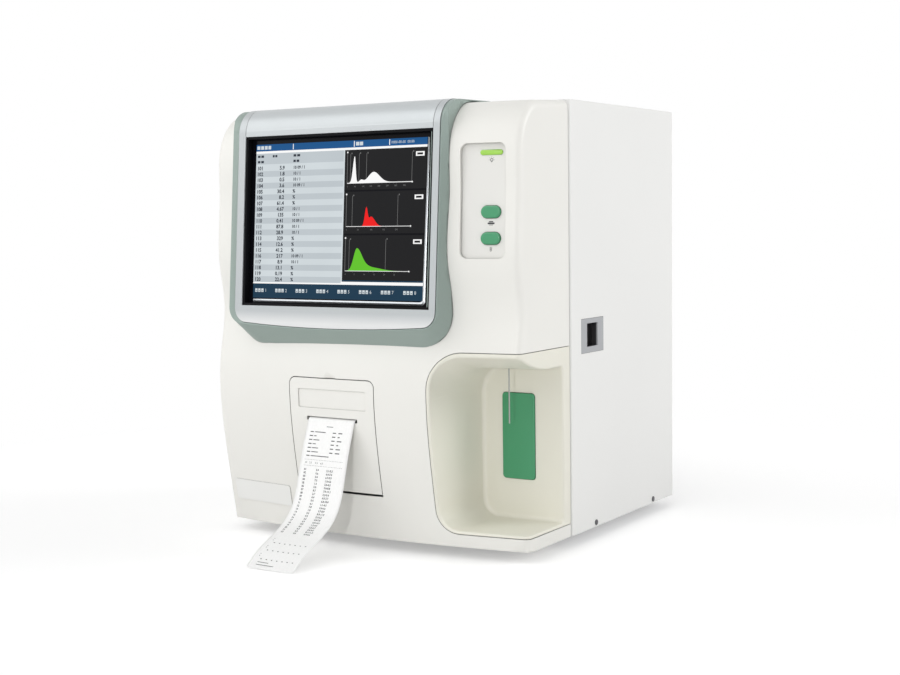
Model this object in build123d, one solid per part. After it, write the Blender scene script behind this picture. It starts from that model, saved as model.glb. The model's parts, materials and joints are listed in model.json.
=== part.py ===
from build123d import *
import os
from math import atan, cos, degrees, hypot, radians, sin, sqrt, tan

# A benchtop blood cell counter: a moulded front cover with screen, keypad, printer and an open
# sample bay, on a sheet metal enclosure with a hinged service door.
# Millimetres. +Z is up and the front looks along -Y. Every y below is counted from the seam
# between the front cover and the metal enclosure. The whole part is moved by frame_shift at
# the end, so that the origin lies under the middle of its outer box, on the table.

os.makedirs("parts", exist_ok=True)

# Overall sizes
width = 370
half_width = width / 2
enclosure_depth = 255
enclosure_top = 451.5
enclosure_base = 12
sheet = 1.2
slip = 0.3
touch = 0.15

# Front cover
cover_base = 12.5
cover_wall = 3
cover_corner = 8
seam_gap = 3
bow = 16
toe_depth = 103
roof_front_depth = 80
roof_front_z = 447.5
roof_rear_z = 452
cover_line = [
    (toe_depth, cover_base),
    (112, 62),
    (122.5, 130),
    (122.8, 190),
    (114.5, 245),
    (120.8, 292),
    (117.4, 365),
    (110, 424),
    (roof_front_depth, roof_front_z),
]
bow_radius = (half_width**2 + bow**2) / (2 * bow)
bow_axis_y = bow_radius - 118
roof_slope = (roof_rear_z - roof_front_z) / roof_front_depth

# Screen, on a plane that leans back
screen_x = -16.7
screen_y = -116.8
screen_z = 335
screen_tilt = 4.48
active_width = 211.2
active_height = 158.4
window_width = 227
window_height = 170
face_lift = 7.4
face_thickness = 2.5
face_proud = 0.6
face_left = screen_x - window_width / 2 - 8.8
face_right = screen_x + window_width / 2 + 11
face_bottom = 227.2
face_bottom_rise = 5
face_corner = 15
skirt_left = face_left - 8
skirt_right = face_right + 1.7
skirt_bottom = 225.7
skirt_corner = 17
skirt_base_left = face_left - 10
skirt_base_right = face_right + 6.2
skirt_base_bottom = 203.4
skirt_base_corner = 38
skirt_base_y = -112
skirt_seam = 0.6
skirt_seam_depth = 3
roll_radius = 26.4
roll_top_z = 451
roll_rear_y = -31

# Keypad panel, on a plane turned to follow the cover
panel_x = half_width - 36.7
panel_z = 351.6
panel_width = 46.5
panel_height = 109.4
panel_corner = 7
panel_tilt = 3.3
panel_depth = 4.2
panel_thickness = 2
panel_lap = 3
key_u = 7
print_key_v = -10.3
sampling_key_v = -35.4
key_width = 20.3
key_height = 12
key_proud = 2.7
key_travel = 1.5
lamp_v = 46
lamp_width = 23
lamp_height = 4.8

# Printer door and printer
door_left = -77
door_right = 29
door_top = 175.3
door_bottom = 59.5
door_corner = 7
door_gap = 0.8
hinge_setback = 8
hinge_z = 62.8
hinge_sweep = 0.6
hinge_pin_radius = 1.2
hinge_ear_radius = 2.6
knuckle_radius = 4.5
paper_x = -24
paper_width = 58
slot_width = 64
slot_low = 131.8
slot_high = 136
roll_y = -62
roll_z = 92
roll_radius_paper = 24
core_radius = 8
spindle_radius = 5
platen_y = -104
platen_z = 128
platen_radius = 6
platen_shaft_radius = 2
running_fit = 0.05

# Sample bay
bay_left = half_width - 96.2
bay_top = 206.7
bay_bottom = 25.4
bay_top_corner = 37
bay_bottom_corner = 23
bay_rim = 3.4
bay_back_y = -17
bay_wall = 3
bay_gap = 0.6
bay_lip = 2.4
bay_ceiling = 187
bay_floor = 29
bay_inner_corner = 30
brow_rise = 14
brow_depth = 56
brow_yaw = 8.5
plate_x = half_width - 50.9
plate_z = 113.9
plate_width = 37.3
plate_height = 88.2
plate_corner = 4
plate_travel = 2
probe_x = half_width - 46
probe_y = -45
probe_radius = 0.75
probe_tip_z = 130.5
probe_top_z = 318
lift_travel = 50
screw_lead = 8

# Service door
pivot_inset = 6
pan_depth = 12
pivot_radius = 2
pull_y0 = 23.5
pull_z0 = 196
pull_length = 50.5
pull_height = 35
side_screw_ys = (54.9, 198.7)
side_screw_z = 16.5

# Rear
spigot_reach = 14
foot_height = enclosure_base + 0.2
foot_radius = 14
foot_x = half_width - 50
foot_ys = (32, 225)

front_reach = 226
rear_reach = enclosure_depth + spigot_reach
frame_shift = (front_reach - rear_reach) / 2


def box(x0, x1, y0, y1, z0, z1):
    """A box between six faces."""
    return Pos((x0 + x1) / 2, (y0 + y1) / 2, (z0 + z1) / 2) * Box(x1 - x0, y1 - y0, z1 - z0)


def rod(axis, start, radius, length):
    """A cylinder from a start point along +X, +Y or +Z."""
    turn = {"X": Rot(0, 90, 0), "Y": Rot(-90, 0, 0), "Z": Rot(0, 0, 0)}[axis]
    centre = Align.CENTER
    return Pos(*start) * turn * Cylinder(radius, length, align=(centre, centre, Align.MIN))


def pipe(axis, start, radius, bore, length):
    """A tube from a start point along +X, +Y or +Z."""
    return rod(axis, start, radius, length) - rod(axis, start, bore, length)


def tile(x0, x1, z0, z1, corner, y0, y1):
    """A plate seen from the front as a rounded rectangle, between two y."""
    face = RectangleRounded(x1 - x0, z1 - z0, corner)
    plane = Plane((x0 / 2 + x1 / 2, y1, z0 / 2 + z1 / 2), x_dir=(1, 0, 0), z_dir=(0, -1, 0))
    return extrude(plane * face, y1 - y0)


def save(node, *solids):
    """Writes one node, moved into the part's own frame."""
    pieces = [Pos(0, frame_shift, 0) * piece for shape in solids for piece in shape.solids()]
    export_step(Compound(pieces), f"parts/{node}.step")
    return pieces


def inset_line(inset):
    """The cover's front line at mid width, moved inwards by the inset."""
    points = [(-depth, z) for depth, z in cover_line]
    moved = []
    for i, (y, z) in enumerate(points):
        before = points[max(i - 1, 0)]
        after = points[min(i + 1, len(points) - 1)]
        dy, dz = after[0] - before[0], after[1] - before[1]
        if i == len(points) - 1:
            dy, dz = 1, roof_slope
        length = hypot(dy, dz)
        moved.append((y + inset * dz / length, z - inset * dy / length))
    moved[0] = (moved[0][0], cover_base + inset)
    return moved


def front_curve(inset):
    """The same line as a smooth curve, upright at the toe and level with the roof at its end."""
    points = inset_line(inset)
    start = (points[1][0] - points[0][0], points[1][1] - points[0][1])
    return Plane.YZ * Spline(*points, tangents=[start, (1, roof_slope)])


def cover_block(inset, rear=-seam_gap, corner=0):
    """The cover's outer form as a solid, shrunk by the inset and cut off at a rear plane."""
    points = inset_line(inset)
    end = points[-1]
    far = rear + 10
    rear_top = (far, end[1] + roof_slope * (far - end[0]))
    closing = Plane.YZ * Polyline(end, rear_top, (far, cover_base + inset), points[0])
    face = make_face([front_curve(inset), *closing.edges()])
    axis = Axis((0, bow_axis_y, 0), (0, 0, 1))
    half_arc = 13
    solid = revolve(face.rotate(axis, -half_arc), axis, 2 * half_arc)
    side = half_width - inset
    solid = solid & box(-side, side, -300, rear, 0, 600)
    if corner:
        edges = []
        for edge in solid.edges():
            size = edge.bounding_box().size
            if abs(abs(edge.center().X) - side) < 0.5 and size.Z > 1 and size.Y > 1:
                edges.append(edge)
        solid = fillet(edges, corner)
    return solid


outer_curve = front_curve(0)


def cover_y(x, z):
    """The y of the cover's outer face at a place seen from the front."""
    low, high = 0.0, 1.0
    for _ in range(40):
        middle = (low + high) / 2
        if outer_curve.position_at(middle).Z < z:
            low = middle
        else:
            high = middle
    radius = bow_axis_y - outer_curve.position_at(low).Y
    return bow_axis_y - sqrt(radius**2 - x**2)


def screen_frame(lift):
    """The plane of the screen, moved outwards by the lift; its x is level and its y goes up."""
    tilt = radians(screen_tilt)
    normal = Vector(0, -cos(tilt), sin(tilt))
    return Plane(Vector(screen_x, screen_y, screen_z) + normal * lift, x_dir=(1, 0, 0), z_dir=normal)


panel_yaw = degrees(atan(panel_x / bow_radius))


def panel_normal():
    """The outward direction of the keypad panel."""
    yaw, tilt = radians(panel_yaw), radians(panel_tilt)
    return Vector(sin(yaw) * cos(tilt), -cos(yaw) * cos(tilt), sin(tilt))


def panel_frame(depth):
    """The plane of the keypad panel, a depth behind the cover's outer face."""
    yaw = radians(panel_yaw)
    origin = Vector(panel_x, cover_y(panel_x, panel_z), panel_z) - panel_normal() * depth
    return Plane(origin, x_dir=(cos(yaw), sin(yaw), 0), z_dir=panel_normal())


def on_panel(face, front, back):
    """A face drawn on the keypad panel, made solid between two depths behind the cover."""
    return extrude(panel_frame(back) * face, back - front)


# Openings of the front cover, seen from the front
display_hole = box(face_left + 0.5, face_right - 2.8, -200, -60, 242, 428)
roof_hole = box(face_left - slip, face_right + slip, -200, roll_rear_y + slip, 427, 480)
hinge_y = cover_y(0, hinge_z) + hinge_setback


def barrel(grow, clear):
    """A barrel round the printer door's hinge axis that keeps one distance from the curved face."""
    def radius(x):
        return hinge_setback + grow - bow * (x / half_width) ** 2

    left, right = door_left - clear, door_right + clear
    middle = (left + right) / 2
    arc = ThreePointArc((left, radius(left)), (middle, radius(middle)), (right, radius(right)))
    sides = Polyline((right, radius(right)), (right, 0), (left, 0), (left, radius(left)))
    plane = Plane((0, hinge_y, hinge_z), x_dir=(1, 0, 0), z_dir=(0, -1, 0))
    return revolve(plane * make_face([arc, *sides.edges()]), Axis((0, hinge_y, hinge_z), (1, 0, 0)), 360)


lip_relief = barrel(hinge_sweep + 0.3, door_gap)


def door_outline(grow):
    """The printer door's outline as a prism: round at the top, square at the bottom."""
    left, right = door_left - grow, door_right + grow
    top, bottom = door_top + grow, door_bottom - grow
    upper = tile(left, right, bottom, top, door_corner + grow, -200, -60)
    lower = box(left, right, -200, -60, bottom, door_top - 20)
    return upper + lower


def bay_outline(grow):
    """The sample bay insert's outline as a prism that runs out past the right side."""
    left, top, bottom = bay_left - grow, bay_top + grow, bay_bottom - grow
    right = half_width + 20
    face = make_face(Polyline((left, bottom), (right, bottom), (right, top), (left, top), close=True))
    upper = [v for v in face.vertices() if v.X < left + 1 and v.Y > top - 1]
    face = fillet(upper, bay_top_corner + grow)
    lower = [v for v in face.vertices() if v.X < left + bay_bottom_corner + 5 and v.Y < bottom + 1]
    face = fillet(lower, bay_bottom_corner + grow)
    plane = Plane((0, 0, 0), x_dir=(1, 0, 0), z_dir=(0, -1, 0))
    return extrude(plane * face, 200)


outer_block = cover_block(0, corner=cover_corner)
inner_block = cover_block(cover_wall, rear=2)


def front_cover():
    """The moulded front shell, with its openings, a finger scoop and screw bosses inside."""
    shell = outer_block - inner_block
    scoop_radius = 22
    scoop_lift = 19
    scoop_at = Vector(paper_x - 1.5, cover_y(paper_x, 171) - scoop_lift, 171)
    backing = Pos(*scoop_at) * Sphere(scoop_radius + 2.2)
    backing = backing & cover_block(1) & box(-60, 20, -200, -60, door_top + door_gap, 200)
    shell = shell + backing
    shell = shell - Pos(*scoop_at) * Sphere(scoop_radius)
    shell = shell - display_hole - roof_hole
    hole = Plane(panel_frame(0).origin, x_dir=panel_frame(0).x_dir, z_dir=panel_frame(0).z_dir)
    keypad_hole = extrude(hole * RectangleRounded(panel_width, panel_height, panel_corner), -9, both=True)
    shell = shell - keypad_hole
    shell = shell - door_outline(door_gap) - lip_relief
    shell = shell - bay_outline(0)
    boss_radius = 5
    side = half_width - cover_wall
    for x, z in ((-1, 34), (-1, 424), (1, 424), (1, 226)):
        centre = x * (side - boss_radius - 11)
        boss = rod("Y", (centre, -40, z), boss_radius, 40 + frame_front)
        rib = box(min(centre, x * side), max(centre, x * side), -40, -6, z - 1.2, z + 1.2)
        shell = shell + boss + rib
        shell = shell - rod("Y", (centre, -20, z), 1.6, 40)
    return shell


# Structure planes of the enclosure
frame_front = 1.9
frame_sheet = 1.5
frame_back = frame_front + frame_sheet
base_low = enclosure_base + 0.2
base_top = base_low + sheet
pan_edge = half_width - pan_depth
plate_edge = pan_edge - 0.6
lid_low = enclosure_top - sheet
pivot_x = half_width - pivot_inset
pivot_y = enclosure_depth - pivot_inset
pivot_reach = hypot(pivot_inset, pivot_inset)
rear_edge = pivot_x - pivot_reach - 0.7
rear_inner = enclosure_depth - sheet


def side_pan(side, hinged):
    """A bent sheet side panel with returns at the front, rear and top, on one side (1 or -1)."""
    pan = box(pan_edge, half_width, 0.5, enclosure_depth, enclosure_base, enclosure_top)
    front = [e for e in pan.edges().filter_by(Axis.Z) if e.center().X > half_width - 1 and e.center().Y < 2]
    pan = fillet(front, 4)
    rear = [e for e in pan.edges().filter_by(Axis.Z) if e.center().X > half_width - 1 and e.center().Y > enclosure_depth - 1]
    pan = fillet(rear, 2)
    inside = box(pan_edge - 1, half_width - sheet, 0.5 + sheet, rear_inner, enclosure_base - 1, lid_low)
    edge = [e for e in inside.edges().filter_by(Axis.Z) if e.center().X > half_width - 3 and e.center().Y < 3]
    pan = pan - fillet(edge, 4 - sheet)
    if hinged:
        notch = 22
        inner = pan_edge - 1
        pan = pan - box(inner, half_width - sheet, rear_inner - 1, enclosure_depth + 1, 0, enclosure_base + notch)
        pan = pan - box(inner, half_width - sheet, rear_inner - 1, enclosure_depth + 1, lid_low - notch, lid_low)
        tab = box(pan_edge, half_width - sheet, pivot_y - 8, enclosure_depth, enclosure_base, enclosure_base + sheet)
        pan = pan + tab
        for z in (enclosure_base - 1, lid_low - 1):
            pan = pan - rod("Z", (pivot_x, pivot_y, z), pivot_radius + running_fit, sheet + 3)
        pan = pan - box(half_width - 5, half_width + 1, pull_y0 + 2, pull_y0 + pull_length - 2,
                        pull_z0 + 2, pull_z0 + pull_height - 2)
        pan = pan - box(half_width - 1, half_width + 1, pull_y0 - slip, pull_y0 + pull_length + slip,
                        pull_z0 - slip, pull_z0 + pull_height + slip)
    for y in side_screw_ys:
        pan = pan - rod("X", (half_width - 3, y, side_screw_z), 1.6, 5)
    if side < 0:
        pan = mirror(pan, Plane.YZ)
    return pan


def side_screws(side):
    """Pan-head screws through a side panel's lower edge."""
    screws = []
    for y in side_screw_ys:
        head = rod("X", (half_width, y, side_screw_z), 2.9, 0.8)
        shank = rod("X", (half_width - 4, y, side_screw_z), 1.5, 4)
        screw = head + shank
        slot = box(half_width + 0.4, half_width + 1, y - 2.2, y + 2.2, side_screw_z - 0.35, side_screw_z + 0.35)
        screw = screw - slot
        screws.append(screw if side > 0 else mirror(screw, Plane.YZ))
    return screws


def chassis_base():
    """The bottom pan: a plate with upturned sides that take the side panels' screws."""
    flange_x = half_width - sheet - 0.2
    plate = box(-flange_x, flange_x, frame_front, rear_inner, base_low, base_top)
    plate = plate - box(pan_edge - 3, half_width, pivot_y - 10, enclosure_depth, 0, 60)
    for side in (-1, 1):
        low, high = sorted((side * flange_x, side * (flange_x - sheet)))
        flange = box(low, high, 6, pivot_y - 11, base_low, 30)
        for y in side_screw_ys:
            flange = flange - rod("X", (low - 1, y, side_screw_z), 2.1, sheet + 2)
        plate = plate + flange
        corner_low, corner_high = sorted((side * pan_edge, side * half_width))
        plate = plate - box(corner_low, corner_high, 0, 6, 0, 60)
    rear = box(-plate_edge, rear_edge, rear_inner - sheet, rear_inner, base_low, 30)
    plate = plate + rear
    for x in (-foot_x, foot_x):
        for y in foot_ys:
            plate = plate - rod("Z", (x, y, 0), 2.2, 40)
    vents = [Pos(-120 + 12 * i, 128, 0) * box(-2, 2, -30, 30, 0, 40) for i in range(8)]
    for vent in vents:
        plate = plate - vent
    return plate


def front_frame():
    """The upright sheet behind the front cover, with windows for cables and the keypad loom."""
    plate = box(-plate_edge, plate_edge, frame_front, frame_back, base_top, lid_low)
    for x, z, height in ((-pan_edge + 50, 110, 100), (screen_x, screen_z - 15, 130)):
        plate = plate - tile(x - 22, x + 22, z - height / 2, z + height / 2, 6, -10, 20)
    plate = plate - tile(panel_x - 37, panel_x + 15, 392, 430, 6, -10, 20)
    return plate


def top_cover():
    """The lid plate between the side panels, with turned-down edges."""
    plate = box(-plate_edge, plate_edge, 0.5, rear_inner, lid_low, enclosure_top)
    for side in (-1, 1):
        low, high = sorted((side * plate_edge, side * (plate_edge - sheet)))
        plate = plate + box(low, high, frame_back + 1, pivot_y - 12, lid_low - 14, lid_low)
    plate = plate + box(-plate_edge, rear_edge - 1, rear_inner - sheet, rear_inner, lid_low - 14, lid_low)
    clear = rod("Z", (pivot_x, pivot_y, lid_low - 20), pivot_reach + 0.7, 40)
    return plate - clear


def door_pivots():
    """Two tongues with pins that carry the service door at its rear corner."""
    tongues = []
    for low, pin_low, pin_high in ((base_top, enclosure_base, base_top + 1.5),
                                   (lid_low - 1.5, lid_low - 1.5, enclosure_top)):
        tongue = box(pivot_x - 39, pivot_x, pivot_y - 4.3, pivot_y + 3.4, low, low + 1.5)
        tongue = tongue + rod("Z", (pivot_x, pivot_y, low), 4.3, 1.5)
        tongue = tongue - box(0, 200, pivot_y + 3.4, 300, 0, 500)
        tongues.append(tongue + rod("Z", (pivot_x, pivot_y, pin_low), pivot_radius, pin_high - pin_low))
    return tongues


def door_pull():
    """A flush recessed pull: a flange in the panel and a cup behind it."""
    flange = box(half_width - 1, half_width, pull_y0, pull_y0 + pull_length, pull_z0, pull_z0 + pull_height)
    cup_y0, cup_y1 = pull_y0 + 3, pull_y0 + pull_length - 3
    cup_z0, cup_z1 = pull_z0 + 3, pull_z0 + pull_height - 3
    depth = 13
    cup = box(half_width - depth, half_width - 1, cup_y0, cup_y1, cup_z0, cup_z1)
    opening = box(half_width - depth + 2, half_width + 1, 36.5, 60.8, 202, cup_z1 - 2)
    under = box(half_width - depth + 2, half_width - 3, cup_y0 + 2, cup_y1 - 2, cup_z0 + 2, cup_z1 - 2)
    return flange + cup - opening - under


def bay_prism(grow):
    """The bay's hollow as a prism, grown outwards, with a rounded edge along its back."""
    left, right = bay_left + bay_rim - grow, half_width + 20
    low, high = bay_floor - grow, bay_ceiling + grow
    face = make_face(Polyline((left, low), (right, low), (right, high), (left, high), close=True))
    upper = [v for v in face.vertices() if v.X < left + 1 and v.Y > high - 1]
    face = fillet(upper, bay_inner_corner + grow)
    lower = [v for v in face.vertices() if v.X < left + bay_bottom_corner + 5 and v.Y < low + 1]
    face = fillet(lower, bay_bottom_corner - bay_rim + grow)
    plane = Plane((0, bay_back_y + grow, 0), x_dir=(1, 0, 0), z_dir=(0, -1, 0))
    solid = extrude(plane * face, 200)
    rear = [e for e in solid.edges() if e.center().Y > bay_back_y + grow - 0.1 and e.center().X < right - 1]
    return fillet(rear, 4.5 + grow)


def bay_brow(grow):
    """The flare under the bay's upper edge: its top sinks from the face down to the ceiling."""
    left = bay_left + bay_rim + slip - grow
    reach = half_width + 20 - left
    yaw = radians(brow_yaw)
    start_y = cover_y(left + grow, bay_top)
    sections = []
    for depth in (-14, 0, 10, 20, 30, 42, brow_depth, brow_depth + 14):
        rise = brow_rise * max(1 - depth / brow_depth, 0) ** 2
        if depth < 0:
            rise = brow_rise - depth / 2
        top = bay_ceiling + rise + grow - (2 * slip if depth > brow_depth else 0)
        outline = make_face(Polyline((0, 110), (reach, 110), (reach, top), (0, top), close=True))
        corner = [v for v in outline.vertices() if v.X < 1 and v.Y > 150]
        outline = fillet(corner, bay_inner_corner - 0.4 + 2.6 * min(rise / brow_rise, 1) + grow)
        plane = Plane((left, start_y + depth / cos(yaw), 0), x_dir=(cos(yaw), sin(yaw), 0),
                      z_dir=(sin(yaw), -cos(yaw), 0))
        sections.append(plane * outline)
    return loft(sections)


def softened(hollow, radius):
    """The cover's outer form less a hollow, with the hollow's mouth rounded over."""
    block = outer_block - hollow
    mouth = []
    for edge in block.edges():
        middle, size = edge.center(), edge.bounding_box().size
        if not (bay_left < middle.X and bay_floor - 1 < middle.Z < bay_top and middle.Y < bay_back_y + 1):
            continue
        points = [edge.position_at(k) for k in (0.1, 0.5, 0.9)]
        front = all(abs(p.Y - cover_y(p.X, p.Z)) < 0.05 for p in points)
        front = front and middle.X < half_width - cover_corner and (size.X > 0.1 or middle.X < bay_left + 9)
        side = all(p.X > half_width - 0.01 for p in points)
        side = side and (size.Y > size.Z or middle.Y > bay_back_y - 6)
        if front or side:
            mouth.append(edge)
    return fillet(mouth, radius)


def alcove_insert():
    """The sample bay moulding: outer skin, rounded walls, floor, flared lintel and rear post."""
    block = outer_block & bay_outline(-bay_gap)
    skin = block - inner_block
    walls = block & (bay_prism(bay_wall) + bay_brow(bay_wall))
    insert = (skin + walls) & softened(bay_prism(0), bay_lip)
    insert = insert & softened(bay_brow(0), bay_lip)
    insert = insert - rod("Z", (probe_x, probe_y, bay_ceiling - 20), 3, 60)
    hole = tile(plate_x - plate_width / 2 - slip, plate_x + plate_width / 2 + slip,
                plate_z - plate_height / 2 - slip, plate_z + plate_height / 2 + slip,
                plate_corner, -40, 0)
    insert = insert - hole
    return max(insert.solids(), key=lambda solid: solid.volume)


def start_plate():
    """The rocker-sized plate behind the probe that a tube is pushed against to start."""
    x0, x1 = plate_x - plate_width / 2, plate_x + plate_width / 2
    z0, z1 = plate_z - plate_height / 2, plate_z + plate_height / 2
    back = bay_back_y + bay_wall
    plate = tile(x0, x1, z0, z1, plate_corner - slip, bay_back_y - 1.6, back + slip)
    front = plate.edges().filter_by_position(Axis.Y, bay_back_y - 1.7, bay_back_y - 1.5)
    plate = fillet(front, 1)
    flange = tile(x0 - 3, x1 + 3, z0 - 3, z1 + 3, plate_corner + 3, back + slip, back + slip + 1.5)
    ribs = [box(plate_x - 14, plate_x + 14, back + slip + 1.5, back + 4.5, plate_z + dz - 1, plate_z + dz + 1)
            for dz in (-30, 30)]
    return plate + flange + ribs[0] + ribs[1]


def start_switch():
    """The lever switch behind the start plate, on a foot fixed to the front frame."""
    back = bay_back_y + bay_wall
    body = box(plate_x - 10, plate_x + 10, -6.5, frame_front, plate_z - 6, plate_z + 6)
    button = rod("Y", (plate_x, back + 1.8 + plate_travel + slip, plate_z), 1.6, 6)
    return body + button


# Bezel round the screen
def roll_block(inset):
    """Everything behind the bezel's face: it leans back, rolls over the top and runs rearward."""
    tilt = tan(radians(screen_tilt))
    normal_y = (face_lift - inset) / cos(radians(screen_tilt))

    def face_y(z):
        return screen_y + (z - screen_z) * tilt - normal_y

    top = roll_top_z - inset
    top_front = top - 1.2
    corner = (face_y(top_front), top_front)
    outline = Polyline((face_y(180), 180), corner, (roll_rear_y, top), (roll_rear_y, 180), close=True)
    face = make_face(outline)
    front = [v for v in face.vertices() if abs(v.X - corner[0]) < 0.5 and abs(v.Y - corner[1]) < 0.5]
    face = fillet(front, roll_radius - inset)
    return extrude(Plane.YZ.offset(-200) * face, 400)


def bezel_sketch(left, right, bottom, rise, corner, top):
    """The bezel's outline from the front: straight sides and a bottom that sags in the middle."""
    middle = (left + right) / 2
    outline = [
        ThreePointArc((left, bottom + rise), (middle, bottom), (right, bottom + rise)),
        Polyline((right, bottom + rise), (right, top), (left, top), (left, bottom + rise)),
    ]
    face = make_face([edge for part in outline for edge in part.edges()])
    lower = [v for v in face.vertices() if v.Y < bottom + rise + 1]
    return fillet(lower, corner)


def bezel_prism(left, right, bottom, corner):
    """The bezel's outline as a prism from front to back."""
    face = bezel_sketch(left, right, bottom, face_bottom_rise, corner, 480)
    plane = Plane((0, 0, 0), x_dir=(1, 0, 0), z_dir=(0, -1, 0))
    return extrude(plane * face, 200)


def bezel_skirt():
    """The deep surround that rises from the cover and carries the face plate and the screen."""
    base_plane = Plane((0, skirt_base_y, 0), x_dir=(1, 0, 0), z_dir=(0, -1, 0))
    base = bezel_sketch(skirt_base_left, skirt_base_right, skirt_base_bottom, face_bottom_rise,
                        skirt_base_corner, 470)
    tilt = radians(screen_tilt)
    lift = face_lift / cos(tilt)
    front_plane = Plane((0, screen_y - lift - screen_z * tan(tilt), 0), x_dir=(1, 0, 0),
                        z_dir=(0, -cos(tilt), sin(tilt)))
    stretch = 1 / cos(tilt)
    front = bezel_sketch(skirt_left, skirt_right, skirt_bottom * stretch, face_bottom_rise,
                         skirt_corner, 490 * stretch)
    wall = loft([base_plane * base, front_plane * front], ruled=True)
    back = extrude(base_plane * base, -(roll_rear_y - skirt_base_y))
    skirt = (wall + back) & roll_block(0)
    skirt = skirt - cover_block(-touch)
    seat = bezel_sketch(skirt_base_left + skirt_seam_depth, skirt_base_right - skirt_seam_depth,
                        skirt_base_bottom + skirt_seam_depth, face_bottom_rise,
                        skirt_base_corner - skirt_seam_depth, 470)
    skirt = skirt - (cover_block(-skirt_seam) - extrude(Plane((0, 0, 0), x_dir=(1, 0, 0), z_dir=(0, -1, 0)) * seat, 200))
    recess = bezel_prism(face_left - touch, face_right + touch, face_bottom - touch, face_corner)
    skirt = skirt - (recess - roll_block(face_thickness - face_proud + 0.1))
    window = screen_frame(-30) * Box(window_width, window_height, 120)
    module = screen_frame(-30.5 - 0.5) * Box(active_width + 33, active_height + 28, 61)
    skirt = skirt - window - module
    return max(skirt.solids(), key=lambda solid: solid.volume)


def face_skin():
    """The thin sheet that lies over the skirt's front and rolls over its top."""
    prism = bezel_prism(face_left, face_right, face_bottom, face_corner)
    return (prism & roll_block(-face_proud)) - roll_block(face_thickness - face_proud)


def strip_zone(grow):
    """The stretch above the screen, between the two seams that run over the top."""
    left = screen_x - window_width / 2 - grow
    right = screen_x + window_width / 2 + grow
    bottom = screen_z + window_height / 2 * cos(radians(screen_tilt)) - 0.5
    return box(left, right, -160, 0, bottom, 480)


def bezel_face():
    """The U-shaped face plate: its two arms run over the top."""
    window = screen_frame(0) * Box(window_width, window_height, 60)
    skin = face_skin() - window - strip_zone(0)
    return max(skin.solids(), key=lambda solid: solid.volume)


def bezel_top_strip():
    """The strip above the screen that rolls over the top between the face plate's arms."""
    window = screen_frame(0) * Box(window_width, window_height, 60)
    skin = (face_skin() & strip_zone(-0.4)) - window
    return max(skin.solids(), key=lambda solid: solid.volume)


def screen_gasket():
    """The black seal that lines the window."""
    depth = 7
    outer = screen_frame(depth / 2 - 0.5) * Box(window_width - 0.2, window_height - 0.2, depth)
    inner = screen_frame(depth / 2 - 0.5) * Box(window_width - 5, window_height - 5, depth + 2)
    return outer - inner


def touch_glass():
    """The touch panel behind the window."""
    return screen_frame(-1.6) * Box(active_width + 30, active_height + 25, 2)


def lcd_module():
    """The display: its metal can, with the board, lamp holder and mounting ears behind."""
    can = screen_frame(-6.7) * Box(active_width + 14, active_height + 18, 8)
    board = screen_frame(-12.2) * Pos(20, 0, 0) * Box(150, 120, 3)
    ears = [screen_frame(-9.7) * Pos(side * (active_width / 2 + 9), v, 0) * Box(12, 14, 2)
            for side in (-1, 1) for v in (-60, 60)]
    module = can + board
    for ear in ears:
        module = module + ear
    return module


# Keypad
def stadium(grow):
    """A key's outline."""
    return SlotOverall(key_width + 2 * grow, key_height + 2 * grow)


key_places = {"print_button": print_key_v, "sampling_button": sampling_key_v}
panel_back = panel_depth + panel_thickness


def control_panel():
    """The flat keypad plate behind its hole in the cover, with two key wells and a lamp slot."""
    sheet_face = RectangleRounded(panel_width + 2 * panel_lap, panel_height + 2 * panel_lap, panel_corner)
    plate = on_panel(sheet_face, panel_depth, panel_back)
    for v in key_places.values():
        plate = plate - on_panel(Pos(key_u, v) * stadium(slip), panel_depth - 1, panel_back + 1)
    lamp = SlotOverall(lamp_width + 2 * touch, lamp_height + 2 * touch)
    return plate - on_panel(Pos(key_u, lamp_v) * lamp, panel_depth - 1, panel_back + 1)


def key(v):
    """One key cap with a domed front, a flange behind the panel and a stem to its switch."""
    place = Pos(key_u, v)
    cap = on_panel(place * stadium(0), panel_depth - key_proud, panel_back + 0.3)
    face = cap.faces().sort_by(Axis.Y)[0]
    cap = fillet(face.edges(), 1.8)
    flange = on_panel(place * stadium(1.8), panel_back + 0.2, panel_back + 1.6)
    return cap + flange


def lamp_lens():
    """The light bar's lens with its flange."""
    place = Pos(key_u, lamp_v)
    lens = on_panel(place * SlotOverall(lamp_width, lamp_height), panel_depth - 0.8, panel_back + 0.5)
    flange = on_panel(place * SlotOverall(lamp_width + 4, lamp_height + 4), panel_back, panel_back + 1.2)
    return lens + flange


def keypad_board():
    """The circuit board behind the keys, with switches, lamps and posts up to the panel."""
    board_front = panel_back + 5
    board = on_panel(Rectangle(40, 104), board_front, board_front + 1.6)
    for v in key_places.values():
        board = board + on_panel(Pos(key_u, v) * Rectangle(6.2, 6.2), board_front - 1.7, board_front)
    for u in (-6, 0, 6):
        board = board + on_panel(Pos(key_u + u, lamp_v) * Rectangle(3, 3), board_front - 2, board_front)
    for u, v in ((-16, -48), (-16, 48), (17, 12), (17, -48)):
        board = board + on_panel(Pos(u, v) * Circle(2.5), panel_back, board_front)
    board = board + on_panel(Pos(-10, 10) * Rectangle(6, 24), board_front + 1.6, board_front + 7)
    return board


# Printer
door_skin = outer_block - cover_block(cover_wall)
recess_block = cover_block(1.2)


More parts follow.
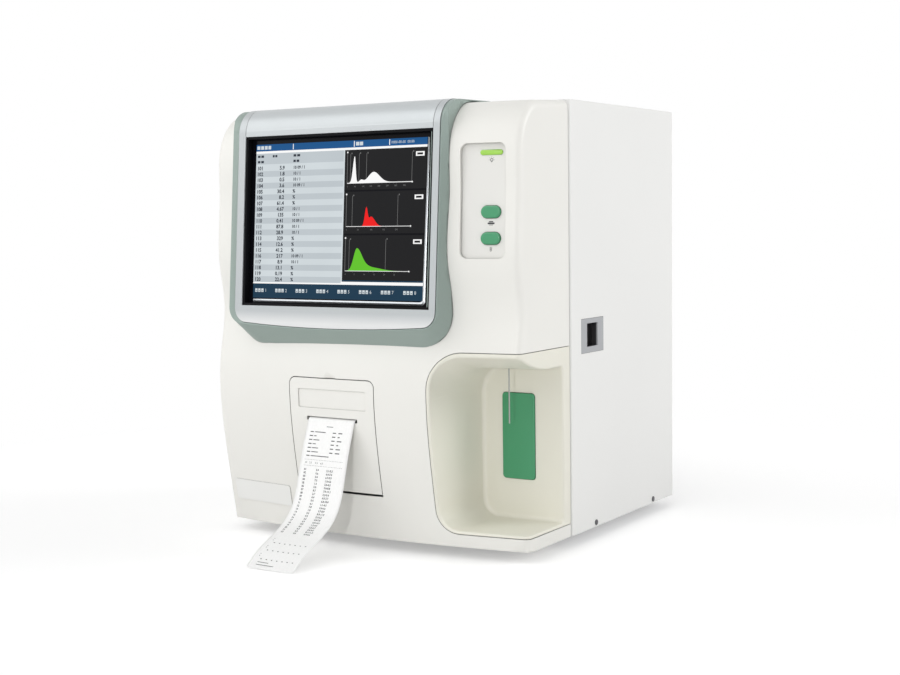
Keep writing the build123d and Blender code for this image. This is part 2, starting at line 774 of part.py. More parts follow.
def printer_door():
    """The curved door with a shallow window, the paper slot and its hinge knuckles."""
    skin = door_skin & door_outline(0)
    skin = skin - (tile(door_left + 11, door_right - 10, 144.8, 164.2, 1.5, -200, -60) - recess_block)
    slot = tile(paper_x - slot_width / 2, paper_x + slot_width / 2, slot_low, slot_high, 0.8, -200, -60)
    skin = skin - slot
    sweep = barrel(hinge_sweep, 1)
    below = box(door_left - 1, door_right + 1, -200, -60, 0, hinge_z)
    door = skin - (below - sweep)
    for x0, x1 in ((door_left + 2, door_left + 10), (door_right - 10, door_right - 2)):
        knuckle = rod("X", (x0, hinge_y, hinge_z), knuckle_radius, x1 - x0)
        web = box(x0, x1, cover_y(x0, hinge_z) + 1.5, hinge_y + 1, hinge_z, hinge_z + 8)
        door = door + ((knuckle + web) & cover_block(0.5))
        door = door - rod("X", (x0 - 1, hinge_y, hinge_z), hinge_pin_radius + running_fit, x1 - x0 + 2)
    for x in (door_left + 9, door_right - 11):
        rib = box(x, x + 2, -122, cover_y(x, 150) + 6, 80, 168) & cover_block(1)
        door = door + rib
    return max(door.solids(), key=lambda solid: solid.volume)


def printer_frame():
    """The open-fronted printer bay: side cheeks, floor, back, roll stubs and the door's pins."""
    x0, x1 = paper_x - 48, paper_x + 48
    wall = 2.5
    front, back, low, high = -98, -30, 60, 168
    frame = box(x0, x1, front, back, low, high)
    frame = frame - box(x0 + wall, x1 - wall, front - 1, back - wall, low + wall, high - wall)
    for x in (x0, x1 - wall):
        frame = frame + box(x, x + wall, -113, front, 120, 150)
        frame = frame - rod("X", (x - 1, platen_y, platen_z), platen_shaft_radius + running_fit, wall + 2)
    stub = 7
    frame = frame + rod("X", (x0 + wall, roll_y, roll_z), spindle_radius, stub)
    frame = frame + rod("X", (x1 - wall - stub, roll_y, roll_z), spindle_radius, stub)
    left_ear, right_ear = door_left + 10.6, door_right - 14.6
    for ear0, ear1, pin0, pin1 in ((left_ear, left_ear + 4, door_left + 3, left_ear + 4),
                                   (right_ear, right_ear + 4, right_ear, door_right - 3)):
        ear = rod("X", (ear0, hinge_y, hinge_z), hinge_ear_radius, ear1 - ear0)
        arm = box(ear0, ear1, hinge_y, front + 1, hinge_z - hinge_ear_radius, hinge_z + hinge_ear_radius)
        frame = frame + ear + arm
        frame = frame + rod("X", (pin0, hinge_y, hinge_z), hinge_pin_radius, pin1 - pin0)
    return frame


def print_head():
    """The thermal head over the platen, on a bar between the bay's cheeks."""
    x0, x1 = paper_x - 45.5, paper_x + 45.5
    nip = platen_z + platen_radius
    head = box(paper_x - 33, paper_x + 33, -112, -94, nip + 0.35, nip + 8)
    bar = box(x0, x1, -110, -96, nip + 8, nip + 12)
    fins = [box(paper_x - 30 + 10 * i, paper_x - 28 + 10 * i, -110, -96, nip + 12, nip + 18) for i in range(7)]
    head = head + bar
    for fin in fins:
        head = head + fin
    return head


def platen_roller():
    """The rubber roller on its shaft."""
    body = rod("X", (paper_x - 31, platen_y, platen_z), platen_radius, 62)
    shaft = rod("X", (paper_x - 47.5, platen_y, platen_z), platen_shaft_radius, 95)
    return body + shaft


def paper_roll():
    """The paper roll and its core."""
    start = (paper_x - paper_width / 2, roll_y, roll_z)
    length = paper_width
    roll = rod("X", start, roll_radius_paper, length)
    reach = 38
    core = rod("X", (paper_x - reach, roll_y, roll_z), core_radius, 2 * reach)
    bore = rod("X", (paper_x - reach - 1, roll_y, roll_z), spindle_radius + running_fit, 2 * reach + 2)
    return roll + core - bore


def paper_strip():
    """The printed strip: out of the slot, down in front of the door and forward on the table."""
    reach = cover_y(paper_x, slot_low)
    hang = [(-6.5, 134.2), (-1, 133.8), (5, 120), (12, 100), (18, 80), (23.5, 62), (30.5, 48),
            (40.5, 37), (55.5, 27.5), (72.5, 20), (86.5, 13), (96.5, 6)]
    line = [(reach - out, z) for out, z in hang] + [(-front_reach, 0.6)]
    thickness = 0.3
    upper = [(y, z + thickness) for y, z in line]
    top = Spline(*upper)
    bottom = Spline(*line)
    ends = [Line(bottom @ 0, top @ 0), Line(bottom @ 1, top @ 1)]
    face = make_face([top, bottom, *ends])
    return extrude(Plane.YZ.offset(paper_x - paper_width / 2) * face, paper_width)


# Sampling unit, on the front frame above the bay
screw_radius = 3
lift_y = -22
guide_xs = (probe_x - 19, probe_x + 19)
carriage_low = 282
carriage_high = 300


def sampler_bracket():
    """The bracket on the front frame with two shelves that hold the rods and the screw."""
    web = box(probe_x - 27, probe_x + 21.5, frame_front - 2.5, frame_front, 192, 380)
    low_shelf = box(probe_x - 27, probe_x + 26, -36, frame_front - 2.5, 208, 212)
    high_shelf = box(probe_x - 27, probe_x + 26, -36, frame_front - 2.5, 362, 366)
    bracket = web + low_shelf + high_shelf
    for x in guide_xs:
        bracket = bracket - rod("Z", (x, lift_y, 205), screw_radius, 165)
    return bracket - rod("Z", (probe_x, lift_y, 205), screw_radius + running_fit, 165)


def guide_rods():
    """Two polished rods between the shelves."""
    return [rod("Z", (x, lift_y, 208), screw_radius, 158) for x in guide_xs]


def lead_screw():
    """The lead screw with the half coupling under the motor."""
    screw = rod("Z", (probe_x, lift_y, 208.5), screw_radius, 162)
    return screw + rod("Z", (probe_x, lift_y, 367), 6, 6)


def lift_motor():
    """The stepper motor on the upper shelf."""
    posts = [rod("Z", (x, y, 366), 2, 9) for x in (probe_x - 12, probe_x + 12) for y in (lift_y - 12, lift_y + 12)]
    can = box(probe_x - 17, probe_x + 17, lift_y - 17, lift_y + 17, 375, 405)
    can = chamfer(can.edges().filter_by(Axis.Z), 3)
    motor = can - rod("Z", (probe_x, lift_y, 374), 3.5, 3)
    for post in posts:
        motor = motor + post
    return motor


def probe_carriage():
    """The carriage: bearings on the rods, the screw's nut and an arm to the probe."""
    block = box(probe_x - 27, probe_x + 27, lift_y - 8, lift_y + 8, carriage_low, carriage_high)
    block = chamfer(block.edges().filter_by(Axis.Z), 2)
    arm = box(probe_x - 8, probe_x + 8, probe_y - 7, lift_y - 8, carriage_low + 3, carriage_high - 3)
    block = block + arm
    for x in (*guide_xs, probe_x):
        block = block - rod("Z", (x, lift_y, carriage_low - 5), screw_radius + running_fit, 40)
    return block - rod("Z", (probe_x, probe_y, carriage_low - 5), 2.5, 40)


def sample_probe():
    """The needle with its hub and top fitting."""
    needle = rod("Z", (probe_x, probe_y, probe_tip_z), probe_radius, probe_top_z - probe_tip_z)
    hub = rod("Z", (probe_x, probe_y, carriage_low), 2.5, carriage_high - carriage_low)
    head = rod("Z", (probe_x, probe_y, carriage_high - 3), 4, 8)
    return needle + hub + head


def wash_block():
    """The rinse block over the bay's ceiling that the needle slides through."""
    low = bay_ceiling + bay_wall
    block = box(probe_x - 9, probe_x + 9, probe_y - 9, probe_y + 9, low, low + 14)
    block = chamfer(block.edges().filter_by(Axis.Z), 2)
    block = block + rod("Z", (probe_x, probe_y, bay_ceiling + 0.5), 2.7, 4)
    ports = rod("X", (probe_x - 16, probe_y, low + 9), 1.8, 8)
    bore = rod("Z", (probe_x, probe_y, low - 10), probe_radius + 0.25, 40)
    return block + ports - bore


# Fluid side, reached through the service door
panel_plane_x = half_width - 89


def fluidics_plate():
    """The upright plate that carries the fluid parts, bent over at its foot."""
    plate = box(panel_plane_x, panel_plane_x + 2, 20, 236, base_top, 430)
    foot = box(panel_plane_x - 14, panel_plane_x, 20, 236, base_top, base_top + 2)
    return plate + foot


def counting_baths():
    """Two clear counting cups in a row, each with an electrode stub and an outlet."""
    cups = []
    for y in (60, 104):
        cup = pipe("Z", (panel_plane_x + 26, y, 300), 15, 12.5, 52)
        cup = cup + Pos(panel_plane_x + 26, y, 292) * Cone(4, 15, 16)
        cup = cup - Pos(panel_plane_x + 26, y, 296) * Cone(2, 12.5, 13)
        cup = cup + rod("Z", (panel_plane_x + 26, y, 276), 2.4, 10)
        cup = cup + box(panel_plane_x + 2, panel_plane_x + 13, y - 8, y + 8, 318, 340)
        cups.append(cup)
    return cups


def valve_bank():
    """A manifold with a row of solenoid valves."""
    x0 = panel_plane_x + 2
    bank = box(x0, x0 + 16, 30, 222, 224, 242)
    for i in range(8):
        y = 42 + 24 * i
        bank = bank + box(x0 + 16, x0 + 40, y - 9, y + 9, 225, 241)
        bank = bank + rod("X", (x0 + 40, y, 233), 6, 12)
    return bank


def syringe_unit():
    """The dosing unit: a back plate, two end blocks and the motor under them."""
    x0 = panel_plane_x + 2
    unit = box(x0, x0 + 5, 44, 124, 48, 206)
    unit = unit + box(x0 + 5, x0 + 34, 44, 124, 192, 206)
    unit = unit + box(x0 + 5, x0 + 34, 44, 124, 128, 136)
    for y in (64, 104):
        unit = unit - rod("Z", (x0 + 20, y, 120), 8.3, 74)
    unit = unit + box(x0 + 5, x0 + 37, 68, 100, 48, 78)
    return unit


def syringe_barrels():
    """Two glass barrels held between the end blocks."""
    x0 = panel_plane_x + 2
    return [pipe("Z", (x0 + 20, y, 124), 8, 5.2, 69) for y in (64, 104)]


def syringe_plungers():
    """Two plungers on one crossbar."""
    x0 = panel_plane_x + 2
    bar = box(x0 + 12, x0 + 28, 56, 112, 92, 100)
    for y in (64, 104):
        bar = bar + rod("Z", (x0 + 20, y, 98), 2, 48)
        bar = bar + rod("Z", (x0 + 20, y, 146), 5.15, 8)
    return bar


def waste_chamber():
    """The closed waste and vacuum chamber behind the dosing unit."""
    x = panel_plane_x + 2 + 26
    y = 168
    tank = rod("Z", (x, y, 70), 23, 100)
    tank = fillet(tank.edges(), 4)
    tank = tank + rod("Z", (x, y, 168), 12, 12)
    foot = box(panel_plane_x + 2, x, y - 10, y + 10, 90, 96)
    strap = box(panel_plane_x + 2, x, y - 10, y + 10, 140, 146)
    legs = box(x - 8, x + 8, y - 8, y + 8, base_top, 72)
    return tank + foot + strap + legs


def tube(*points):
    """One soft line, swept along rounded corners."""
    path = FilletPolyline(*points, radius=7)
    section = Plane(path @ 0, z_dir=path % 0) * Circle(2)
    return sweep(section, path)


def tubing():
    """Soft lines from the rear ports up to the manifold and from the baths down to it."""
    manifold_x = panel_plane_x + 10
    lines = []
    for i, z in enumerate(port_zs):
        y = 218 - 10 * i
        start = (port_x, rear_inner - 22, z)
        lines.append(tube(start, (port_x, y, z), (port_x, y, 206), (manifold_x, y, 206), (manifold_x, y, 224)))
    for y in (60, 104):
        cup_x = panel_plane_x + 26
        lines.append(tube((cup_x, y, 276), (cup_x, y, 262), (manifold_x, y, 262), (manifold_x, y, 242)))
    return lines


# Electronics side
def power_supply():
    """The mains supply in a perforated cover on the chassis."""
    x0, x1, y0, y1 = -half_width + 17, -half_width + 115, 40, 200
    can = box(x0, x1, y0, y1, base_top + 4, base_top + 58)
    for x in (x0 + 8, x1 - 8):
        for y in (y0 + 8, y1 - 8):
            can = can + rod("Z", (x, y, base_top), 4, 4)
    for i in range(9):
        y = y0 + 16 + 16 * i
        can = can - box(x0 + 14, x1 - 14, y, y + 4, base_top + 55, base_top + 70)
    return can


def main_board():
    """The main circuit board on the left side, on posts, with its chips and connectors."""
    x = -half_width + sheet + 0.0
    board = box(x + 12, x + 13.6, 20, 210, 110, 400)
    for y in (30, 200):
        for z in (120, 390):
            board = board + rod("X", (x, y, z), 3.5, 12)
    for y, z, w, h, t in ((60, 320, 34, 34, 6), (120, 330, 28, 28, 4), (60, 200, 22, 50, 4),
                          (110, 180, 30, 14, 5), (160, 260, 24, 60, 12), (160, 160, 20, 30, 16)):
        board = board + box(x + 13.6, x + 13.6 + t, y - w / 2, y + w / 2, z - h / 2, z + h / 2)
    for i in range(5):
        board = board + rod("X", (x + 13.6, 40 + 18 * i, 375), 5, 14)
    return board


fan_x = -half_width + 90
fan_z = 330
fan_size = 80


def fan_housing():
    """The axial fan's frame on the rear panel, with a hub carrier and four struts."""
    half = fan_size / 2
    body = box(fan_x - half, fan_x + half, rear_inner - 25, rear_inner, fan_z - half, fan_z + half)
    body = body - rod("Y", (fan_x, rear_inner - 26, fan_z), half - 2, 28)
    hub = rod("Y", (fan_x, rear_inner - 25, fan_z), 14, 4)
    hub = hub + rod("Y", (fan_x, rear_inner - 21, fan_z), 2, 12)
    body = body + hub
    for turn in (0, 90, 180, 270):
        strut = box(12, half - 1, -25, -21, -2, 2)
        body = body + Pos(fan_x, rear_inner, fan_z) * Rot(0, turn + 45, 0) * strut
    for dx in (-1, 1):
        for dz in (-1, 1):
            body = body - rod("Y", (fan_x + dx * 35.8, rear_inner - 26, fan_z + dz * 35.8), 2.1, 28)
    return body


def fan_rotor():
    """The fan wheel: a cup with seven twisted blades."""
    hub = rod("Y", (fan_x, rear_inner - 20, fan_z), 16, 17)
    rotor = hub
    for i in range(7):
        blade = box(14, 35.5, -1, 1, -9, 9)
        blade = Rot(40, 0, 0) * blade
        rotor = rotor + Pos(fan_x, rear_inner - 11.5, fan_z) * Rot(0, i * 360 / 7, 0) * blade
    return rotor - rod("Y", (fan_x, rear_inner - 22, fan_z), 2 + running_fit, 14)


def fan_guard():
    """The guard outside the rear panel: rings joined by two cross bars and four eyes."""
    bar = box(-50, 50, 0, 1.4, -0.9, 0.9)
    guard = Pos(fan_x, enclosure_depth, fan_z) * Rot(0, 45, 0) * bar
    guard = guard + Pos(fan_x, enclosure_depth, fan_z) * Rot(0, -45, 0) * bar
    for radius in (10, 19, 28, 37):
        guard = guard + pipe("Y", (fan_x, enclosure_depth + 1, fan_z), radius + 0.9, radius - 0.9, 1.6)
    for dx in (-1, 1):
        for dz in (-1, 1):
            eye = rod("Y", (fan_x + dx * 35.8, enclosure_depth, fan_z + dz * 35.8), 4, 2.4)
            guard = guard + eye
    return guard


def rear_panel():
    """The rear sheet with its cut-outs for the fan, mains inlet, sockets and fluid ports."""
    panel = box(-plate_edge, rear_edge, rear_inner, enclosure_depth, base_low, lid_low)
    panel = panel - rod("Y", (fan_x, 240, fan_z), fan_size / 2 - 2, 30)
    for dx in (-1, 1):
        for dz in (-1, 1):
            panel = panel - rod("Y", (fan_x + dx * 35.8, 240, fan_z + dz * 35.8), 2.1, 30)
    panel = panel - box(entry_x - 14, entry_x + 14, 240, 270, entry_z - 24, entry_z + 24)
    for x, w, h in data_sockets:
        panel = panel - box(x - w / 2, x + w / 2, 240, 270, data_z - h / 2, data_z + h / 2)
    for z in port_zs:
        panel = panel - rod("Y", (port_x, 240, z), 4.2, 30)
    for i in range(10):
        for row in (0, 1):
            x = -10 + 12 * i
            panel = panel - box(x, x + 6, 240, 270, 360 + 30 * row, 380 + 30 * row)
    return panel


entry_x = -half_width + 45
entry_z = 110
rocker_z = entry_z - 12


def power_entry():
    """The mains entry module: inlet above, rocker switch frame below, with its fuse drawer."""
    flange = tile(entry_x - 17, entry_x + 17, entry_z - 27, entry_z + 27, 2, enclosure_depth, enclosure_depth + 2)
    body = box(entry_x - 13.8, entry_x + 13.8, rear_inner - 26, enclosure_depth, entry_z - 23.8, entry_z + 23.8)
    module = flange + body
    socket = tile(entry_x - 12, entry_x + 12, entry_z + 3, entry_z + 19.5, 2, enclosure_depth - 16, enclosure_depth + 3)
    module = module - socket
    for dx, dz in ((-7, 9), (7, 9), (0, 14)):
        module = module + box(entry_x + dx - 1, entry_x + dx + 1, enclosure_depth - 17, enclosure_depth - 3,
                              entry_z + dz - 2, entry_z + dz + 2)
    well = box(entry_x - 10, entry_x + 10, enclosure_depth - 12, enclosure_depth + 3, rocker_z - 7, rocker_z + 7)
    module = module - well
    module = module + rod("X", (entry_x - 10, enclosure_depth - 3, rocker_z), 1, 20)
    return module


def power_rocker():
    """The rocker of the mains switch, on a pin across its well."""
    profile = Polyline((-6, 1.2), (0, -1.2), (6, 3.6), (4, -8), (-4, -8), close=True)
    face = make_face(profile)
    plane = Plane((entry_x - 9.7, enclosure_depth - 3, rocker_z), x_dir=(0, 0, 1), z_dir=(1, 0, 0))
    lifted = Plane(plane.origin, x_dir=(0, 0, 1), z_dir=(-1, 0, 0))
    body = extrude(lifted * mirror(face, Plane.YZ), -19.4)
    return body - rod("X", (entry_x - 11, enclosure_depth - 3, rocker_z), 1 + running_fit, 22)


data_z = 110
data_sockets = ((-80, 32, 13), (-32, 32, 13), (6, 16, 14), (34, 14, 8))


def data_ports():
    """The row of sockets on a small board behind the rear panel."""
    sockets = box(-102, 48, rear_inner - 22, rear_inner - 20.4, data_z - 12, data_z + 12)
    for x, w, h in data_sockets:
        reach = enclosure_depth + (4 if w > 20 else 0.8)
        shell = box(x - w / 2 + touch, x + w / 2 - touch, rear_inner - 20.4, reach,
                    data_z - h / 2 + touch, data_z + h / 2 - touch)
        inside = box(x - w / 2 + 2.5, x + w / 2 - 2.5, reach - 7, reach + 1, data_z - h / 2 + 2.5, data_z + h / 2 - 2.5)
        sockets = sockets + (shell - inside)
    return sockets


port_x = half_width - 51
spigot_radius = 3
port_zs = (96, 122, 148)


def reagent_ports():
    """Three bulkhead spigots with nuts, for the reagent and waste lines."""
    ports = []
    for z in port_zs:
        port = rod("Y", (port_x, rear_inner - 10, z), 4, 10 + sheet)
        nut = Pos(port_x, enclosure_depth, z) * Rot(-90, 0, 0) * extrude(RegularPolygon(6.5, 6), 4)
        collar = rod("Y", (port_x, rear_inner - 4, z), 6.5, 4)
        stem = rod("Y", (port_x, enclosure_depth + 4, z), spigot_radius, spigot_reach - 4)
        stem = chamfer(stem.edges().sort_by(Axis.Y)[-1], 0.6)
        port = port + nut + collar + stem
        inner = rod("Y", (port_x, rear_inner - 22, z), 2.2, 12)
        port = port + inner - rod("Y", (port_x, rear_inner - 30, z), 1.2, 60)
        ports.append(port)
    return ports


def rear_screws():
    """Screws along the rear panel's upper and lower edges."""
    screws = []
    for x in (-160, -50, 60, 158):
        for z in (base_low + 10, lid_low - 7):
            head = rod("Y", (x, enclosure_depth, z), 2.9, 1.6)
            screws.append(fillet(head.edges().sort_by(Axis.Y)[-1], 0.8))
    return screws


def foot(x, y):
    """A turned rubber foot with a recess for its screw."""
    body = Pos(x, y, foot_height / 2) * Cone(foot_radius - 1.5, foot_radius, foot_height)
    body = body - rod("Z", (x, y, 0), 5, 5)
    return body + rod("Z", (x, y, foot_height), 2, sheet + 1)


def badge_plate():
    """The bare name plate low on the front's left."""
    plate = tile(-half_width + 12, -half_width + 94, 36, 58, 2, -200, -60)
    return (cover_block(-0.8) - cover_block(-0.02)) & plate


save("front_cover", front_cover())
save("alcove_insert", alcove_insert())
save("bezel_skirt", bezel_skirt())
save("bezel_face", bezel_face())
save("bezel_top_strip", bezel_top_strip())
save("screen_gasket", screen_gasket())
save("touch_glass", touch_glass())
save("lcd_module", lcd_module())
save("control_panel", control_panel())
save("lamp_lens", lamp_lens())
save("keypad_board", keypad_board())
for name, key_v in key_places.items():
    save(name, key(key_v))
save("badge_plate", badge_plate())
save("start_plate", start_plate())
save("start_switch", start_switch())
save("printer_door", printer_door())
save("printer_frame", printer_frame())
save("print_head", print_head())
save("platen_roller", platen_roller())
save("paper_roll", paper_roll())
save("paper_strip", paper_strip())
save("sampler_bracket", sampler_bracket())
save("guide_rods", *guide_rods())
save("lead_screw", lead_screw())
save("lift_motor", lift_motor())
save("probe_carriage", probe_carriage())
save("sample_probe", sample_probe())
save("wash_block", wash_block())
save("chassis_base", chassis_base())
save("front_frame", front_frame())
save("top_cover", top_cover())
save("left_panel", side_pan(-1, False))
save("rear_panel", rear_panel())
save("panel_screws", *side_screws(-1), *rear_screws())
save("door_pivots", *door_pivots())
save("service_door", side_pan(1, True))
save("door_pull", door_pull())
save("door_screws", *side_screws(1))
save("fluidics_plate", fluidics_plate())
save("counting_baths", *counting_baths())
save("valve_bank", valve_bank())
save("syringe_unit", syringe_unit())
save("syringe_barrels", *syringe_barrels())
save("syringe_plungers", syringe_plungers())
save("waste_chamber", waste_chamber())
save("tubing", *tubing())
save("power_supply", power_supply())
save("main_board", main_board())
save("fan_housing", fan_housing())
save("fan_rotor", fan_rotor())
save("fan_guard", fan_guard())
save("power_entry", power_entry())
save("power_rocker", power_rocker())
save("data_ports", data_ports())
save("reagent_ports", *reagent_ports())
for name, side in (("left", -1), ("right", 1)):
    save(f"foot_front_{name}", foot(side * foot_x, foot_ys[0]))
    save(f"foot_rear_{name}", foot(side * foot_x, foot_ys[1]))
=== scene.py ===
"""Looks for a benchtop blood cell counter: finishes for its CAD parts, the picture on its screen, the
marks on its keypad, the printed strip, and a plain studio. Laid out as an add-on and run as a script."""

import json
import math

import bmesh
import bpy
import numpy as np
from bpy.props import FloatProperty, FloatVectorProperty, PointerProperty
from bpy.types import Operator, Panel, PropertyGroup
from mathutils import Matrix, Vector


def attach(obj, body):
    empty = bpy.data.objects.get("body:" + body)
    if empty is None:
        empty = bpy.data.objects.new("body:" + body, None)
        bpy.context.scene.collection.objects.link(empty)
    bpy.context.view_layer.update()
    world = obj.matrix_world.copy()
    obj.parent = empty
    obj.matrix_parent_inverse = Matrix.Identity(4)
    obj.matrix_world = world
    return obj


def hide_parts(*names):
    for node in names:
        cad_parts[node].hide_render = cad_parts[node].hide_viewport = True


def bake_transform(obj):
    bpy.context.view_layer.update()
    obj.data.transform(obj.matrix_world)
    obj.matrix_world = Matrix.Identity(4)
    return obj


bl_info = {
    "name": "Blood Cell Counter Looks",
    "version": (1, 0, 0),
    "blender": (4, 5, 0),
    "location": "View3D > Sidebar > Counter",
    "description": "Finishes, screen picture, keypad marks, printed strip and studio for the counter",
    "category": "Object",
}

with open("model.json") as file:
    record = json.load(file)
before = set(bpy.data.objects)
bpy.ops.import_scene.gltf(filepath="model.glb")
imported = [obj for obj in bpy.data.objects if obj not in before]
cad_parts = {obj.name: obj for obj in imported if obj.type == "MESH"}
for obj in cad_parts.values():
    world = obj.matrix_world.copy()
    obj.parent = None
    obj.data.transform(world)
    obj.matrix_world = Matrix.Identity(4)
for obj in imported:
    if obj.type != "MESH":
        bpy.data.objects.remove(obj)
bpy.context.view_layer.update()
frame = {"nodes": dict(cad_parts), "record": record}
nodes = frame["nodes"]
body_of = {node: body for body, members in frame["record"]["behaviour"]["bodies"].items() for node in members}
MM = 0.001
# The seam between cover and enclosure in the frame's own y, which the places below are counted from
SEAM_Y = -21.5


def linear(colour):
    """Turns screen values from 0 to 255 into linear light."""
    share = np.asarray(colour, float) / 255
    return tuple(np.where(share <= 0.04045, share / 12.92, ((share + 0.055) / 1.055) ** 2.4))


def colour_setting(name, description, colour):
    """One colour that a user may change."""
    return FloatVectorProperty(name=name, description=description, subtype="COLOR", size=3, min=0, max=1,
                               default=linear(colour))


def length_setting(name, description, millimetres):
    """One length that a user may change."""
    return FloatProperty(name=name, description=description, unit="LENGTH", default=millimetres * MM)


class CounterColours(PropertyGroup):
    """The colours of the counter's finishes."""

    cover: colour_setting("Cover", "Moulded front cover and printer door", (232, 231, 226))
    bay: colour_setting("Sample bay", "Moulded lining of the sample bay", (228, 226, 214))
    sheet: colour_setting("Sheet metal", "Powder-coated enclosure panels", (231, 231, 229))
    silver: colour_setting("Bezel face", "Satin silver screen surround", (205, 210, 212))
    shade: colour_setting("Bezel skirt", "Grey-green sides of the screen surround", (150, 164, 158))
    keys: colour_setting("Keys", "The two keys and the start plate", (62, 148, 103))
    lamp: colour_setting("Lamp", "Light bar over the keys", (150, 200, 75))
    header: colour_setting("Screen header", "Bar along the top of the screen", (22, 84, 140))
    rows: colour_setting("Screen rows", "Pale rows of the table", (208, 216, 220))
    rows_dark: colour_setting("Screen rows, darker", "Every other row of the table", (190, 198, 203))
    plots: colour_setting("Plot ground", "Dark ground of the three plots", (26, 26, 28))
    footer: colour_setting("Screen footer", "Bar along the bottom of the screen", (24, 56, 78))


class CounterSizes(PropertyGroup):
    """Lengths of the pieces that are drawn here."""

    row_pitch: length_setting("Row pitch", "Distance between two rows of the table", 6.03)
    digit: length_setting("Digit height", "Height of the table's figures", 3.8)
    mark: length_setting("Keypad mark", "Width of a mark under a key", 7.0)
    print_digit: length_setting("Printed digit", "Height of the figures on the strip", 2.0)
    strip_curl: length_setting("Strip curl", "How far the strip's edges lift at its end", 1.2)


# Materials

# How far the painted seam shade darkens the finish beside seams, in millimetres
MOULDED_SEAM_SHADE = 2.4
PAINTWORK_SEAM_SHADE = 2.0


def shader(name):
    """A new material, its node tree and its main shader."""
    material = bpy.data.materials.new(name)
    material.use_nodes = True
    tree = material.node_tree
    return material, tree, tree.nodes["Principled BSDF"]


def object_noise(tree, scale, detail=3.0, stretch=(1, 1, 1)):
    """Noise that sits still on the piece, in object coordinates, stretched along chosen axes."""
    place = tree.nodes.new("ShaderNodeTexCoord")
    mapping = tree.nodes.new("ShaderNodeMapping")
    mapping.inputs["Scale"].default_value = stretch
    noise = tree.nodes.new("ShaderNodeTexNoise")
    noise.inputs["Scale"].default_value = scale
    noise.inputs["Detail"].default_value = detail
    tree.links.new(place.outputs["Object"], mapping.inputs["Vector"])
    tree.links.new(mapping.outputs["Vector"], noise.inputs["Vector"])
    return noise


def spread(tree, source, low, high, centre=0.5, width=0.25):
    """Maps a noise value between two numbers."""
    remap = tree.nodes.new("ShaderNodeMapRange")
    remap.inputs["From Min"].default_value = centre - width
    remap.inputs["From Max"].default_value = centre + width
    remap.inputs["To Min"].default_value = low
    remap.inputs["To Max"].default_value = high
    tree.links.new(source, remap.inputs["Value"])
    return remap.outputs["Result"]


def between(tree, factor, first, second):
    """Mixes two colours by a factor."""
    mix = tree.nodes.new("ShaderNodeMix")
    mix.data_type = "RGBA"
    mix.inputs["A"].default_value = (*first, 1)
    mix.inputs["B"].default_value = (*second, 1)
    tree.links.new(factor, mix.inputs["Factor"])
    return mix.outputs["Result"]


def mottled(tree, noise, colour, darker, lighter):
    """A colour that wanders with a noise between a darker and a lighter share of itself."""
    colour = np.asarray(colour)
    factor = spread(tree, noise.outputs["Fac"], 0, 1)
    return between(tree, factor, colour * darker, np.minimum(colour * lighter, 1))


def painted_seam_shade(tree, surface, tone, reach):
    """Paints shade into a colour in seams and narrow gaps, where little light falls."""
    hollow = tree.nodes.new("ShaderNodeAmbientOcclusion")
    hollow.samples = 6
    hollow.inputs["Distance"].default_value = reach * MM
    shade = spread(tree, hollow.outputs["AO"], 0.22, 1.0, centre=0.42, width=0.28)
    mix = tree.nodes.new("ShaderNodeMix")
    mix.data_type = "RGBA"
    mix.blend_type = "MULTIPLY"
    mix.inputs["Factor"].default_value = 1
    tree.links.new(tone, mix.inputs["A"])
    tree.links.new(shade, mix.inputs["B"])
    tree.links.new(mix.outputs["Result"], surface.inputs["Base Color"])


def relief(tree, surface, height, strength, distance, edge=0.0):
    """Adds a bump from a height, over edges that are rounded by a small radius."""
    bump = tree.nodes.new("ShaderNodeBump")
    bump.inputs["Strength"].default_value = strength
    bump.inputs["Distance"].default_value = distance
    tree.links.new(height, bump.inputs["Height"])
    if edge:
        bevel = tree.nodes.new("ShaderNodeBevel")
        bevel.samples = 4
        bevel.inputs["Radius"].default_value = edge
        tree.links.new(bevel.outputs["Normal"], bump.inputs["Normal"])
    tree.links.new(bump.outputs["Normal"], surface.inputs["Normal"])


def moulded(name, colour, roughness=0.38, grain=0.25, coat=0.0, edge=0.5, gloss=0.5):
    """Moulded plastic: fine spark grain, faint clouding in the colour, painted shade in its seams and softly
    broken edges.
    """
    material, tree, surface = shader(name)
    clouds = object_noise(tree, 9.0, 2.0)
    # painted shade: the colour darkens in seams and narrow gaps
    painted_seam_shade(tree, surface, mottled(tree, clouds, colour, 0.985, 1.012), MOULDED_SEAM_SHADE)
    fine = object_noise(tree, 1400.0, 2.0)
    tree.links.new(spread(tree, fine.outputs["Fac"], roughness - 0.03, roughness + 0.04),
                   surface.inputs["Roughness"])
    surface.inputs["Coat Weight"].default_value = coat
    surface.inputs["Coat Roughness"].default_value = 0.12
    surface.inputs["Specular IOR Level"].default_value = gloss
    relief(tree, surface, fine.outputs["Fac"], grain, 0.00006, edge * MM)
    return material


def powder_coat(name, colour):
    """Powder coat on sheet metal: a low orange peel, faint clouding in the colour and painted shade in its
    seams.
    """
    material, tree, surface = shader(name)
    peel = object_noise(tree, 520.0, 1.0)
    wide = object_noise(tree, 5.0, 1.0)
    # painted shade: the colour darkens in seams and narrow gaps
    painted_seam_shade(tree, surface, mottled(tree, wide, colour, 0.988, 1.01), MOULDED_SEAM_SHADE)
    tree.links.new(spread(tree, peel.outputs["Fac"], 0.42, 0.52), surface.inputs["Roughness"])
    relief(tree, surface, peel.outputs["Fac"], 0.35, 0.00012, 0.5 * MM)
    return material


